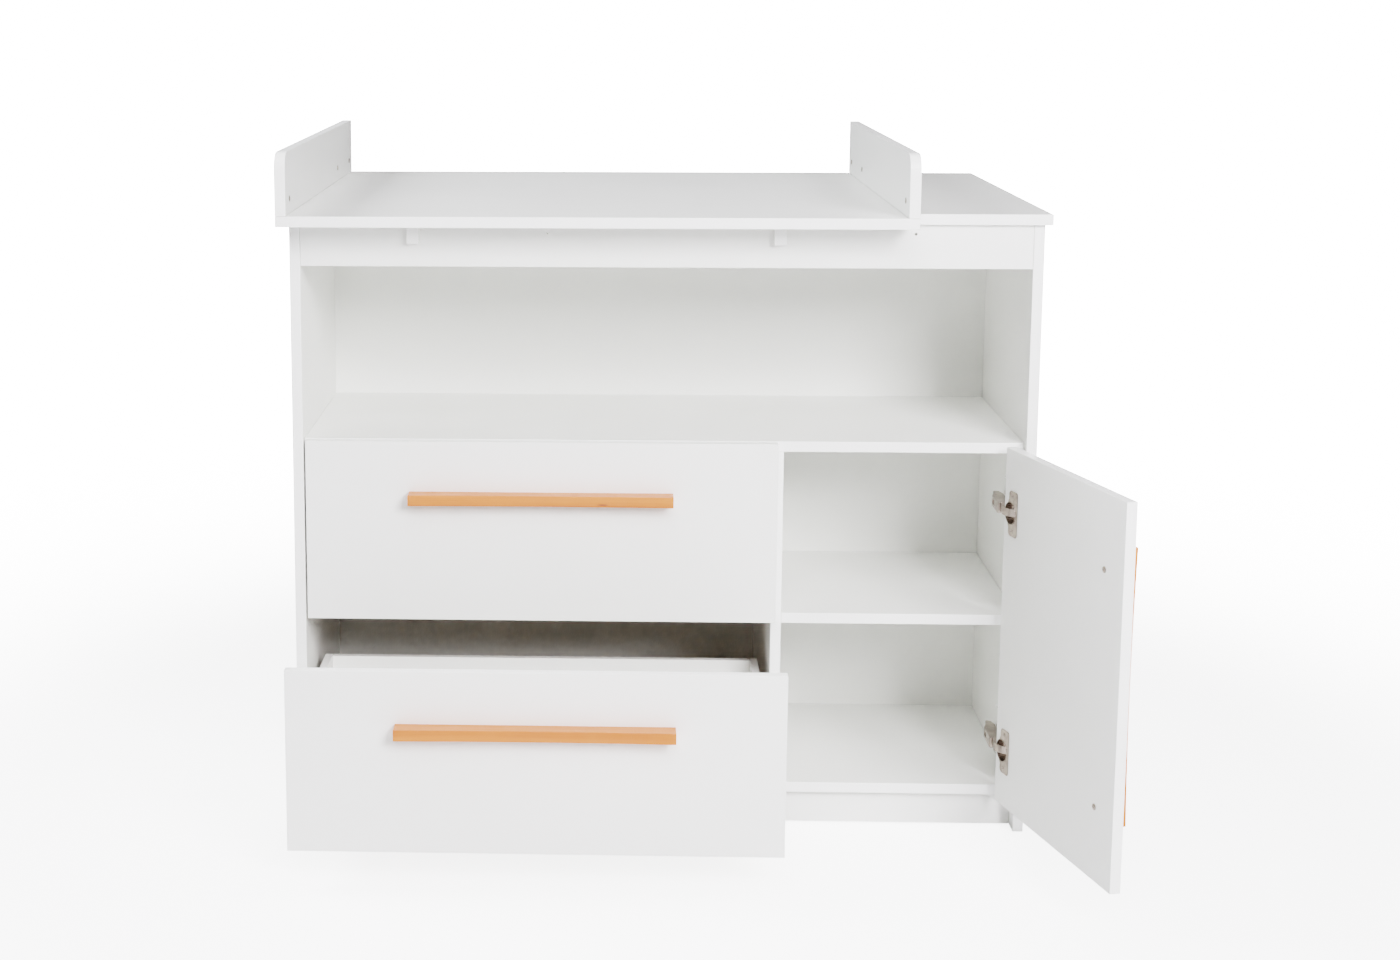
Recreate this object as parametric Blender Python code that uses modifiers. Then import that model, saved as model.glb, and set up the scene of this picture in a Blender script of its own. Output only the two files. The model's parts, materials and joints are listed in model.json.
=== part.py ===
"""Changing table: a board cabinet with two drawers, a hinged door and a deep top with side walls.

The cabinet frame has X to the right, Y from the front face towards the back and Z up from the floor.
Every size below is in metres. The pieces are placed as if the drawers and the door were shut, and
their parent empties then pull the lower drawer out and swing the door open.
"""

import math

import bmesh
import bpy
from mathutils import Matrix, Vector

# Boards and overall size
BOARD = 0.016
CARCASS_WIDTH = 1.108
CARCASS_DEPTH = 0.400
CARCASS_HEIGHT = 0.932
DRAWER_BAY = 0.704
GAP = 0.0003
EDGE_ROUND = 0.0009

# Heights inside the carcass
GLIDE_HEIGHT = 0.003
PLINTH_TOP = 0.055
PLINTH_SETBACK = 0.032
MIDDLE_SHELF_TOP = 0.604
CABINET_SHELF_TOP = 0.338
RAIL_HEIGHT = 0.065

# Back panel, let into grooves
BACK_THICKNESS = 0.003
BACK_INSET = 0.010
GROOVE_DEPTH = 0.008
GROOVE_PLAY = 0.0006

# Fronts: drawer fronts and door, flush with the side panels
FRONT_THICKNESS = 0.016
FRONT_AIR = 0.002
FRONT_LOW = 0.0565
FRONT_TOP_REVEAL = 0.001
SIDE_REVEAL = 0.0025
FRONT_SEAM = 0.003
LOWER_FRONT_HEIGHT = 0.2675
DRAWER_SEAM = 0.004

# Drawer boxes and runners
BOX_SIDE = 0.012
BOX_HEIGHT = 0.156
BOX_DROP = 0.0215
BOX_REAR_ROOM = 0.024
RUNNER_SPACE = 0.012
BOX_BOTTOM = 0.004
BOTTOM_RAISE = 0.008
BOTTOM_GROOVE = 0.005
RUNNER_HEIGHT = 0.035
RUNNER_LIFT = 0.045
RUNNER_SHEET = 0.0012
RUNNER_NEST = 0.0008
LOWER_DRAWER_PULL = 0.243

# Beech handles
HANDLE_LENGTH = 0.396
HANDLE_REACH = 0.029
HANDLE_HEIGHT = 0.016
HANDLE_WAIST = 0.003
HANDLE_BAR = 0.014
HANDLE_FOOT = 0.042
HANDLE_TOP = 0.004
HANDLE_DROP = 0.084
HANDLE_SCREW_SPACING = 0.336
DOOR_HANDLE_FROM_EDGE = 0.053
SCREW_RADIUS = 0.002
SCREW_HEAD_RADIUS = 0.0045
SCREW_BITE = 0.010
SCREW_PLAY = 0.0004

# Door hinges: a cup in the door, a curved link round the turning axis and an arm on the side panel
DOOR_OPEN_ANGLE = math.radians(105.4)
AXIS_FROM_EDGE = 0.0055
AXIS_FROM_FACE = 0.0054
HINGE_FROM_BOTTOM = 0.086
HINGE_FROM_TOP = 0.095
CUP_RADIUS = 0.0172
CUP_WALL = 0.001
CUP_DEPTH = 0.0121
CUP_FROM_EDGE = 0.0225
CUP_PLAY = 0.0004
FLANGE_HEIGHT = 0.068
FLANGE_WIDTH = 0.026
FLANGE_START = 0.017
FLANGE_THICKNESS = 0.0012
LINK_SHEET = 0.002
LINK_HEIGHT = 0.012
LINK_CLEARANCE = 0.0008
ARM_HEIGHT = 0.016
ARM_REAR = 0.084
WING_HEIGHT = 0.046
WING_DEPTH = 0.018
WING_THICKNESS = 0.007
WING_START = 0.028
SPACER_THICKNESS = 0.016
SPACER_HEIGHT = 0.064
SPACER_START = 0.022
SPACER_DEPTH = 0.062

# Shelf pins and the row of holes that they stand in
PIN_RADIUS = 0.0025
PIN_LENGTH = 0.0165
PIN_HOLE_DEPTH = 0.009
PIN_FROM_FRONT = 0.096
PIN_FROM_BACK = 0.024
PIN_PITCH = 0.064
SHELF_SETBACK = 0.022

# Top boards, walls and the pieces under the top
CHANGING_WIDTH = 0.925
CHANGING_LEFT_OVERHANG = 0.009
CHANGING_FRONT_OVERHANG = 0.074
SIDE_TOP_RIGHT_OVERHANG = 0.010
SIDE_TOP_FRONT_OVERHANG = 0.008
TOP_REAR_OVERHANG = 0.326
TOP_SEAM = 0.0005
WALL_HEIGHT = 0.092
WALL_SEAT = 0.0005
WALL_CORNER = 0.025
STOP_WIDTH = 0.018
STOP_HEIGHT = 0.030
STOP_DEPTH = 0.014
STOP_OFFSET = 0.269
RAIL_HOLE_RADIUS = 0.0022
RAIL_HOLE_SHIFT = 0.198
RAIL_HOLE_DROP = 0.014
CONSOLE_MARGIN = 0.026
CONSOLE_DROP = 0.250
CONSOLE_NOSE = 0.040

GLIDE_RADIUS = 0.007
GLIDE_FROM_EDGE = 0.025

# Places that follow from the sizes above
INNER_LEFT = BOARD
INNER_RIGHT = CARCASS_WIDTH - BOARD
PARTITION_LEFT = INNER_LEFT + DRAWER_BAY
PARTITION_RIGHT = PARTITION_LEFT + BOARD
CORE_FRONT = FRONT_THICKNESS + FRONT_AIR
BACK_FACE = CARCASS_DEPTH - BACK_INSET
CORE_REAR = BACK_FACE - GAP
BOTTOM_PANEL_TOP = PLINTH_TOP + BOARD
RAIL_LOW = CARCASS_HEIGHT - RAIL_HEIGHT
SEAM_X = PARTITION_LEFT + BOARD / 2
FRONT_HIGH = MIDDLE_SHELF_TOP - FRONT_TOP_REVEAL
TOP_LOW = CARCASS_HEIGHT + GAP
TOP_HIGH = TOP_LOW + BOARD
TOP_REAR = CARCASS_DEPTH + TOP_REAR_OVERHANG
TOP_JOIN = CHANGING_WIDTH - CHANGING_LEFT_OVERHANG

WHITE = (0.80, 0.80, 0.81, 1.0)
BEECH = (0.72, 0.43, 0.20, 1.0)
NICKEL = (0.55, 0.52, 0.49, 1.0)
COATED = (0.74, 0.74, 0.72, 1.0)
DARK = (0.05, 0.05, 0.055, 1.0)


def clear_scene():
    for thing in list(bpy.data.objects):
        bpy.data.objects.remove(thing, do_unlink=True)


def new_collection(name):
    found = bpy.data.collections.new(name)
    bpy.context.scene.collection.children.link(found)
    return found


def principled(name, colour, roughness, metallic=0.0):
    finish = bpy.data.materials.new(name)
    finish.use_nodes = True
    shader = finish.node_tree.nodes["Principled BSDF"]
    shader.inputs["Base Color"].default_value = colour
    shader.inputs["Roughness"].default_value = roughness
    shader.inputs["Metallic"].default_value = metallic
    finish.diffuse_color = colour
    return finish


def white_board(name):
    return principled(name, WHITE, 0.38)


def nickel(name):
    return principled(name, NICKEL, 0.28, 1.0)


def coated_steel(name):
    return principled(name, COATED, 0.35, 0.6)


def beech(name):
    return principled(name, BEECH, 0.45)


def empty_at(name, shut_at, parent=None):
    """A body's empty. Pieces of the body are placed relative to shut_at, its place when shut."""
    empty = bpy.data.objects.new(name, None)
    empty.empty_display_size = 0.05
    empty.location = shut_at
    empty.parent = parent
    empty["shut_at"] = tuple(shut_at)
    PARTS.objects.link(empty)
    return empty


def add_piece(name, mesh, centre, body, finish):
    piece = bpy.data.objects.new(name, mesh)
    piece.parent = body
    piece.location = Vector(centre) - Vector(body["shut_at"])
    mesh.materials.append(finish)
    PARTS.objects.link(piece)
    return piece


def add_tool(mesh, centre, body):
    """A shape that only cuts or fills out another piece."""
    tool = bpy.data.objects.new(mesh.name + "_tool", mesh)
    tool.parent = body
    tool.location = Vector(centre) - Vector(body["shut_at"])
    tool.hide_render = True
    tool.display_type = "WIRE"
    TOOLS.objects.link(tool)
    return tool


def combine(piece, tool, operation="DIFFERENCE"):
    modifier = piece.modifiers.new(operation.lower(), "BOOLEAN")
    modifier.operation = operation
    modifier.solver = "EXACT"
    modifier.object = tool


def round_edges(piece, width, segments=2):
    bevel = piece.modifiers.new("edge", "BEVEL")
    bevel.width = width
    bevel.segments = segments
    bevel.limit_method = "ANGLE"
    bevel.angle_limit = math.radians(40)


def box_mesh(name, size):
    mesh = bpy.data.meshes.new(name)
    shape = bmesh.new()
    bmesh.ops.create_cube(shape, size=1.0)
    bmesh.ops.scale(shape, vec=Vector(size), verts=shape.verts)
    shape.to_mesh(mesh)
    shape.free()
    return mesh


def box(name, low, high, body, finish, edge=EDGE_ROUND):
    """A board or block between two corners given in the cabinet frame."""
    low = Vector(low)
    high = Vector(high)
    piece = add_piece(name, box_mesh(name, high - low), (low + high) / 2, body, finish)
    if edge:
        round_edges(piece, edge)
    return piece


def smooth(mesh):
    mesh.shade_smooth()
    mesh.set_sharp_from_angle(angle=math.radians(35))


def cylinder_mesh(name, radius, length, axis, segments=24):
    mesh = bpy.data.meshes.new(name)
    shape = bmesh.new()
    bmesh.ops.create_cone(shape, cap_ends=True, segments=segments, radius1=radius, radius2=radius, depth=length)
    if axis == "X":
        bmesh.ops.transform(shape, matrix=Matrix.Rotation(math.pi / 2, 4, "Y"), verts=shape.verts)
    if axis == "Y":
        bmesh.ops.transform(shape, matrix=Matrix.Rotation(math.pi / 2, 4, "X"), verts=shape.verts)
    shape.to_mesh(mesh)
    shape.free()
    smooth(mesh)
    return mesh


def arc(centre, radius, start, end, steps):
    """Points on an arc, both ends included; the angles are in degrees from +X towards +Y."""
    points = []
    for step in range(steps + 1):
        angle = math.radians(start + (end - start) * step / steps)
        points.append((centre[0] + radius * math.cos(angle), centre[1] + radius * math.sin(angle)))
    return points


def outline_mesh(name, points, thickness, turn=None):
    """A flat closed outline in X and Y, made thick along Z, then turned."""
    curve = bpy.data.curves.new(name, "CURVE")
    curve.dimensions = "2D"
    curve.fill_mode = "BOTH"
    curve.extrude = thickness / 2
    spline = curve.splines.new("POLY")
    spline.points.add(len(points) - 1)
    for point, place in zip(spline.points, points):
        point.co = (place[0], place[1], 0.0, 1.0)
    spline.use_cyclic_u = True
    holder = bpy.data.objects.new(name, curve)
    TOOLS.objects.link(holder)
    graph = bpy.context.evaluated_depsgraph_get()
    mesh = bpy.data.meshes.new_from_object(holder.evaluated_get(graph))
    bpy.data.objects.remove(holder)
    shape = bmesh.new()
    shape.from_mesh(mesh)
    bmesh.ops.remove_doubles(shape, verts=shape.verts, dist=0.00001)
    bmesh.ops.dissolve_limit(shape, angle_limit=math.radians(1), verts=shape.verts, edges=shape.edges)
    bmesh.ops.recalc_face_normals(shape, faces=shape.faces)
    if turn is not None:
        bmesh.ops.transform(shape, matrix=turn, verts=shape.verts)
    shape.to_mesh(mesh)
    shape.free()
    mesh.name = name
    smooth(mesh)
    return mesh


# An outline's X and Y become the cabinet's Y and Z, for a piece cut from an upright board
ALONG_SIDE = Matrix.Rotation(math.pi / 2, 4, "Z") @ Matrix.Rotation(math.pi / 2, 4, "X")
# An outline's X and Y become the cabinet's X and Z, for a section that runs front to back
ACROSS_FRONT = Matrix.Rotation(math.pi / 2, 4, "X")
# An outline's X becomes the cabinet's Z, for a handle that stands upright
UPRIGHT = Matrix.Rotation(-math.pi / 2, 4, "Y")


def side_panels(cabinet):
    """The two side boards, with a groove for the back panel and, at right, the shelf pins' holes."""
    for side, left, inner in (("left", 0.0, INNER_LEFT), ("right", INNER_RIGHT, INNER_RIGHT)):
        name = "side_panel_" + side
        panel = box(name, (left, 0, GLIDE_HEIGHT), (left + BOARD, CARCASS_DEPTH, CARCASS_HEIGHT),
                    cabinet, white_board(name))
        groove = box_mesh(name + "_groove", (2 * GROOVE_DEPTH, BACK_THICKNESS + GROOVE_PLAY, 2 * CARCASS_HEIGHT))
        combine(panel, add_tool(groove, (inner, BACK_FACE + BACK_THICKNESS / 2, CARCASS_HEIGHT / 2), cabinet))
        if side == "right":
            drill_pin_holes(panel, inner, cabinet)


def pin_rows():
    return (PIN_FROM_FRONT, BACK_FACE - PIN_FROM_BACK)


def pin_height():
    return CABINET_SHELF_TOP - BOARD - GAP - PIN_RADIUS


def drill_pin_holes(panel, face, cabinet):
    """Three blind holes above one another in each row, so that the shelf can be moved."""
    for row in pin_rows():
        for place in (-1, 0, 1):
            hole = cylinder_mesh(panel.name + "_hole", PIN_RADIUS + GAP, 2 * PIN_HOLE_DEPTH, "X", 16)
            combine(panel, add_tool(hole, (face, row, pin_height() + place * PIN_PITCH), cabinet))


def carcass_boards(cabinet):
    left = INNER_LEFT + GAP
    right = INNER_RIGHT - GAP
    box("bottom_panel", (left, CORE_FRONT, PLINTH_TOP), (right, CORE_REAR, BOTTOM_PANEL_TOP),
        cabinet, white_board("bottom_panel"))
    box("middle_shelf", (left, CORE_FRONT, MIDDLE_SHELF_TOP - BOARD), (right, CORE_REAR, MIDDLE_SHELF_TOP),
        cabinet, white_board("middle_shelf"))
    partition = box("partition", (PARTITION_LEFT, CORE_FRONT, BOTTOM_PANEL_TOP + GAP),
                    (PARTITION_RIGHT, CORE_REAR, MIDDLE_SHELF_TOP - BOARD - GAP),
                    cabinet, white_board("partition"))
    drill_pin_holes(partition, PARTITION_RIGHT, cabinet)
    box("plinth", (left, PLINTH_SETBACK, GLIDE_HEIGHT), (right, PLINTH_SETBACK + BOARD, PLINTH_TOP - GAP),
        cabinet, white_board("plinth"))
    rail = box("front_rail", (left, 0, RAIL_LOW), (right, BOARD, CARCASS_HEIGHT), cabinet, white_board("front_rail"))
    drill_rail_holes(rail, cabinet)


def drill_rail_holes(rail, cabinet):
    """Screw holes beside the stop blocks, for a changing board that is set further to the right."""
    for offset in (-STOP_OFFSET, STOP_OFFSET):
        x = TOP_JOIN - CHANGING_WIDTH / 2 + offset + RAIL_HOLE_SHIFT
        hole = cylinder_mesh(rail.name + "_hole", RAIL_HOLE_RADIUS, 2 * BOARD, "Y", 16)
        combine(rail, add_tool(hole, (x, BOARD / 2, CARCASS_HEIGHT - RAIL_HOLE_DROP), cabinet))


def back_panel_and_rail(cabinet):
    """The thin back slides in the side panels' grooves and up into the rear rail's."""
    rail = box("rear_rail", (INNER_LEFT + GAP, CARCASS_DEPTH - BOARD, RAIL_LOW),
               (INNER_RIGHT - GAP, CARCASS_DEPTH, CARCASS_HEIGHT), cabinet, white_board("rear_rail"))
    groove = box_mesh("rear_rail_groove", (2 * CARCASS_WIDTH, BACK_THICKNESS + GROOVE_PLAY, 2 * GROOVE_DEPTH))
    combine(rail, add_tool(groove, (CARCASS_WIDTH / 2, BACK_FACE + BACK_THICKNESS / 2, RAIL_LOW), cabinet))
    tuck = GROOVE_DEPTH - 2 * GAP
    box("back_panel", (INNER_LEFT - tuck, BACK_FACE, PLINTH_TOP),
        (INNER_RIGHT + tuck, BACK_FACE + BACK_THICKNESS, RAIL_LOW + tuck), cabinet, white_board("back_panel"), edge=0)


def cabinet_shelf(cabinet):
    """The loose shelf behind the door, on four pins."""
    play = 2 * GAP
    box("cabinet_shelf", (PARTITION_RIGHT + play, SHELF_SETBACK, CABINET_SHELF_TOP - BOARD),
        (INNER_RIGHT - play, CORE_REAR - play, CABINET_SHELF_TOP), cabinet, white_board("cabinet_shelf"))
    reach = PIN_LENGTH / 2 - PIN_HOLE_DEPTH + GAP
    for side, centre in (("left", PARTITION_RIGHT + reach), ("right", INNER_RIGHT - reach)):
        for end, row in zip(("front", "rear"), pin_rows()):
            name = "shelf_pin_" + side + "_" + end
            add_piece(name, cylinder_mesh(name, PIN_RADIUS, PIN_LENGTH, "X", 16),
                      (centre, row, pin_height()), cabinet, nickel(name))


def glides(cabinet):
    height = GLIDE_HEIGHT - GAP
    for side, x in (("left", BOARD / 2), ("right", CARCASS_WIDTH - BOARD / 2)):
        for end, y in (("front", GLIDE_FROM_EDGE), ("rear", CARCASS_DEPTH - GLIDE_FROM_EDGE)):
            name = "glide_" + side + "_" + end
            add_piece(name, cylinder_mesh(name, GLIDE_RADIUS, height, "Z"), (x, y, height / 2),
                      cabinet, principled(name, DARK, 0.5))


def wall_outline():
    """A low side wall seen from the side: a long board with a round front upper corner."""
    depth = CHANGING_FRONT_OVERHANG + TOP_REAR
    corner = arc((WALL_CORNER, WALL_HEIGHT - WALL_CORNER), WALL_CORNER, 180, 90, 8)
    return [(depth, WALL_HEIGHT), (depth, 0), (0, 0)] + corner


def top_boards(cabinet):
    """The two top boards, and the low walls, each in a shallow seat along the changing board's edge."""
    front = -CHANGING_FRONT_OVERHANG
    board = box("changing_board", (-CHANGING_LEFT_OVERHANG, front, TOP_LOW), (TOP_JOIN, TOP_REAR, TOP_HIGH),
                cabinet, white_board("changing_board"))
    box("side_top_board", (TOP_JOIN + TOP_SEAM, -SIDE_TOP_FRONT_OVERHANG, TOP_LOW),
        (CARCASS_WIDTH + SIDE_TOP_RIGHT_OVERHANG, TOP_REAR, TOP_HIGH), cabinet, white_board("side_top_board"))
    for side, x in (("left", -CHANGING_LEFT_OVERHANG + BOARD / 2), ("right", TOP_JOIN - BOARD / 2)):
        name = "changing_wall_" + side
        wall = add_piece(name, outline_mesh(name, wall_outline(), BOARD, ALONG_SIDE),
                         (x, front, TOP_HIGH - WALL_SEAT + GAP), cabinet, white_board(name))
        round_edges(wall, EDGE_ROUND)
        seat = box_mesh(name + "_seat", (BOARD + 2 * GAP, 2 * (TOP_REAR - front), 2 * WALL_SEAT))
        combine(board, add_tool(seat, (x, (front + TOP_REAR) / 2, TOP_HIGH), cabinet))


def stop_blocks(cabinet):
    """Blocks under the changing board that hook over the front rail."""
    middle = TOP_JOIN - CHANGING_WIDTH / 2
    for side, offset in (("left", -STOP_OFFSET), ("right", STOP_OFFSET)):
        name = "stop_block_" + side
        low = (middle + offset - STOP_WIDTH / 2, -GAP - STOP_DEPTH, CARCASS_HEIGHT - STOP_HEIGHT)
        high = (middle + offset + STOP_WIDTH / 2, -GAP, CARCASS_HEIGHT)
        box(name, low, high, cabinet, white_board(name))


def rear_consoles(cabinet):
    """Upright boards behind the carcass that carry the top's rear overhang."""
    reach = TOP_REAR_OVERHANG - CONSOLE_MARGIN
    points = [(0, 0), (reach, 0), (reach, -CONSOLE_NOSE), (CONSOLE_NOSE, -CONSOLE_DROP), (0, -CONSOLE_DROP)]
    places = (("left", BOARD / 2), ("middle", TOP_JOIN + TOP_SEAM / 2), ("right", CARCASS_WIDTH - BOARD / 2))
    for side, x in places:
        name = "rear_console_" + side
        console = add_piece(name, outline_mesh(name, points, BOARD, ALONG_SIDE),
                            (x, CARCASS_DEPTH + GAP, CARCASS_HEIGHT), cabinet, white_board(name))
        round_edges(console, EDGE_ROUND)


def runner_section(height, depth):
    """A channel's section: a web on the left and a flange at top and bottom, to the right."""
    half = height / 2
    sheet = RUNNER_SHEET
    return [(0, half), (depth, half), (depth, half - sheet), (sheet, half - sheet),
            (sheet, sheet - half), (depth, sheet - half), (depth, -half), (0, -half)]


def runner(name, height, x, opens, z, rear, body):
    """One channel against a vertical face at x, open towards +X or -X."""
    depth = RUNNER_SPACE - 2 * GAP - RUNNER_SHEET - 2 * RUNNER_NEST
    length = rear - FRONT_THICKNESS - 2 * RUNNER_NEST
    section = [(opens * (GAP + u), v) for u, v in runner_section(height, depth)]
    middle = rear - length / 2
    add_piece(name, outline_mesh(name, section, length, ACROSS_FRONT), (x, middle, z), body, coated_steel(name))


def handle_outline():
    """The handle seen from above: a straight back and a hollow front edge."""
    half = HANDLE_LENGTH / 2
    points = [(-half, -GAP), (half, -GAP), (half, -HANDLE_REACH)]
    steps = 24
    for step in range(1, steps):
        u = half * (1 - 2 * step / steps)
        points.append((u, -HANDLE_REACH + HANDLE_WAIST * (1 - (u / half) ** 2)))
    points.append((-half, -HANDLE_REACH))
    return points


def groove_outline():
    """The finger groove seen from above: open at the back, with round inner corners."""
    inner = HANDLE_LENGTH / 2 - HANDLE_FOOT
    depth = HANDLE_REACH - HANDLE_WAIST - HANDLE_BAR
    points = [(inner, GAP), (-inner, GAP)]
    points += arc((-inner + depth, -GAP), depth, 180, 270, 6)
    points += arc((inner - depth, -GAP), depth, 270, 360, 6)
    return points


def handle(name, centre, body, turn=None):
    """A beech bar with a foot at each end. A groove for the fingers is milled between them from below."""
    bar = add_piece(name, outline_mesh(name, handle_outline(), HANDLE_HEIGHT, turn), centre, body, beech(name))
    round_edges(bar, EDGE_ROUND)
    down = Vector((0, 0, -HANDLE_TOP))
    if turn is not None:
        down = turn.to_3x3() @ down
    groove = outline_mesh(name + "_groove", groove_outline(), HANDLE_HEIGHT, turn)
    combine(bar, add_tool(groove, Vector(centre) + down, body))
    return bar


def drawer(name, low, high, pull, cabinet):
    """A drawer: a front with its handle and a box of sides, back and bottom, on two runners."""
    front_left = INNER_LEFT + SIDE_REVEAL
    front_right = SEAM_X - FRONT_SEAM / 2
    middle = (front_left + front_right) / 2
    body = empty_at(name, (middle, 0, (low + high) / 2), cabinet)
    body.location.y -= pull
    box(name + "_front", (front_left, 0, low), (front_right, FRONT_THICKNESS, high),
        body, white_board(name + "_front"))
    handle(name + "_handle", (middle, 0, high - HANDLE_DROP), body)
    base = low + BOX_DROP
    rear = BACK_FACE - BOX_REAR_ROOM
    left = INNER_LEFT + RUNNER_SPACE
    right = PARTITION_LEFT - RUNNER_SPACE
    start = FRONT_THICKNESS + GAP
    groove_size = (2 * BOTTOM_GROOVE, 2 * CARCASS_DEPTH, BOX_BOTTOM + GROOVE_PLAY)
    groove_height = base + BOTTOM_RAISE + BOX_BOTTOM / 2
    for side, x, inner in (("left", left, left + BOX_SIDE), ("right", right - BOX_SIDE, right - BOX_SIDE)):
        label = name + "_side_" + side
        board = box(label, (x, start, base), (x + BOX_SIDE, rear, base + BOX_HEIGHT), body, white_board(label))
        groove = box_mesh(label + "_groove", groove_size)
        combine(board, add_tool(groove, (inner, CARCASS_DEPTH / 2, groove_height), body))
    box(name + "_back", (left + BOX_SIDE + GAP, rear - BOX_SIDE, base),
        (right - BOX_SIDE - GAP, rear, base + BOX_HEIGHT), body, white_board(name + "_back"))
    tuck = BOX_SIDE - BOTTOM_GROOVE + 2 * GAP
    box(name + "_bottom", (left + tuck, start, base + BOTTOM_RAISE),
        (right - tuck, rear - BOX_SIDE - GAP, base + BOTTOM_RAISE + BOX_BOTTOM),
        body, white_board(name + "_bottom"), edge=0)
    inner_height = RUNNER_HEIGHT - 2 * RUNNER_SHEET - 2 * RUNNER_NEST
    centre = base + RUNNER_LIFT
    for side, wall, outer, opens in (("left", INNER_LEFT, left, 1), ("right", PARTITION_LEFT, right, -1)):
        runner(name + "_fixed_runner_" + side, RUNNER_HEIGHT, wall, opens, centre, rear, cabinet)
        runner(name + "_sliding_runner_" + side, inner_height, outer, -opens, centre, rear, body)


def door_edges():
    left = SEAM_X + FRONT_SEAM / 2
    right = INNER_RIGHT - SIDE_REVEAL
    return left, right


def hinge_heights():
    return (("lower", FRONT_LOW + HINGE_FROM_BOTTOM), ("upper", FRONT_HIGH - HINGE_FROM_TOP))


def hinge_axis():
    return door_edges()[1] - AXIS_FROM_EDGE, -AXIS_FROM_FACE


def link_radius():
    """The link turns round the axis just outside the door's inner edge."""
    corner = math.hypot(AXIS_FROM_EDGE, FRONT_THICKNESS + AXIS_FROM_FACE)
    return corner + LINK_CLEARANCE + GAP + FLANGE_THICKNESS + LINK_SHEET / 2


def cup_floor():
    """How far the cup's inside floor lies in front of the hinge axis."""
    return FRONT_THICKNESS - CUP_DEPTH + CUP_WALL + AXIS_FROM_FACE


def link_outline(axis):
    """A strip bent round the axis, from beside the side panel down to the cup's floor."""
    radius = link_radius()
    outer = radius + LINK_SHEET / 2
    inner = radius - LINK_SHEET / 2
    room = INNER_RIGHT - LINK_CLEARANCE - axis[0]
    start = math.degrees(math.acos(room / outer))
    end = 180 - math.degrees(math.asin((cup_floor() - CUP_WALL / 2) / radius))
    return arc(axis, outer, start, end, 14) + arc(axis, inner, end, start, 14)


def hinge_cup(label, height, door):
    """The cup with its screw flange and the link, made as one piece."""
    right = door_edges()[1]
    axis = hinge_axis()
    centre_x = right - CUP_FROM_EDGE
    rim = FRONT_THICKNESS + GAP + FLANGE_THICKNESS
    floor = FRONT_THICKNESS - CUP_DEPTH
    name = "hinge_cup_" + label
    body = cylinder_mesh(name, CUP_RADIUS, rim - floor, "Y", 32)
    cup = add_piece(name, body, (centre_x, (rim + floor) / 2, height), door, nickel(name))
    plate = box_mesh(name + "_flange", (FLANGE_WIDTH, FLANGE_THICKNESS, FLANGE_HEIGHT))
    plate_x = right - FLANGE_START - FLANGE_WIDTH / 2
    flange = add_tool(plate, (plate_x, rim - FLANGE_THICKNESS / 2, height), door)
    combine(cup, flange, "UNION")
    depth = rim - floor - CUP_WALL
    hollow = cylinder_mesh(name + "_hollow", CUP_RADIUS - CUP_WALL, 2 * depth, "Y", 32)
    combine(cup, add_tool(hollow, (centre_x, rim, height), door))
    strip = outline_mesh(name + "_link", [(x - axis[0], y - axis[1]) for x, y in link_outline(axis)], LINK_HEIGHT)
    combine(cup, add_tool(strip, (axis[0], axis[1], height), door), "UNION")


def hinge_arm(label, height, cabinet):
    """The fixed arm: a nose that reaches into the shut door's cup, a body and a screwed wing."""
    axis = hinge_axis()
    spacer_face = INNER_RIGHT - SPACER_THICKNESS
    base_x = spacer_face - GAP
    clear = link_radius() + LINK_SHEET / 2 + LINK_CLEARANCE
    tip = cup_floor() + LINK_CLEARANCE
    tip_angle = 180 - math.degrees(math.asin(tip / clear))
    half_chord = math.sqrt((CUP_RADIUS - CUP_WALL) ** 2 - (ARM_HEIGHT / 2) ** 2)
    nose_x = door_edges()[1] - CUP_FROM_EDGE - half_chord + LINK_CLEARANCE
    points = [(nose_x, tip + axis[1])]
    points += arc(axis, clear, tip_angle, 120, 6)
    points += [(base_x, SPACER_START + GAP), (base_x, ARM_REAR - 2 * WING_THICKNESS)]
    points += [(base_x - WING_THICKNESS, ARM_REAR), (nose_x + WING_THICKNESS, ARM_REAR)]
    points += [(nose_x, ARM_REAR - 2 * WING_THICKNESS)]
    name = "hinge_arm_" + label
    mesh = outline_mesh(name, [(x - axis[0], y - axis[1]) for x, y in points], ARM_HEIGHT)
    arm = add_piece(name, mesh, (axis[0], axis[1], height), cabinet, nickel(name))
    wing = box_mesh(name + "_wing", (WING_THICKNESS, WING_DEPTH, WING_HEIGHT))
    wing_y = WING_START + WING_DEPTH / 2
    combine(arm, add_tool(wing, (base_x - WING_THICKNESS / 2, wing_y, height), cabinet), "UNION")
    box("hinge_spacer_" + label, (spacer_face, SPACER_START, height - SPACER_HEIGHT / 2),
        (INNER_RIGHT - GAP, SPACER_START + SPACER_DEPTH, height + SPACER_HEIGHT / 2),
        cabinet, white_board("hinge_spacer_" + label))


def handle_screw(name, x, z, door):
    """A pan-head screw from the door's inner face into the handle's foot."""
    head_low = FRONT_THICKNESS + GAP
    head_high = head_low + SCREW_RADIUS
    tip = -SCREW_BITE
    profile = [(0, head_high), (0.6 * SCREW_HEAD_RADIUS, head_high), (SCREW_HEAD_RADIUS, head_low + SCREW_RADIUS / 3),
               (SCREW_HEAD_RADIUS, head_low), (SCREW_RADIUS, head_low), (SCREW_RADIUS, tip + SCREW_RADIUS), (0, tip)]
    mesh = bpy.data.meshes.new(name)
    vertices = [(radius, 0, along) for radius, along in profile]
    mesh.from_pydata(vertices, [(i, i + 1) for i in range(len(vertices) - 1)], [])
    screw = add_piece(name, mesh, (x, 0, z), door, nickel(name))
    screw.rotation_euler.x = -math.pi / 2
    turn = screw.modifiers.new("turn", "SCREW")
    turn.steps = 16
    turn.render_steps = 16
    turn.use_merge_vertices = True
    turn.merge_threshold = 0.00001


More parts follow.
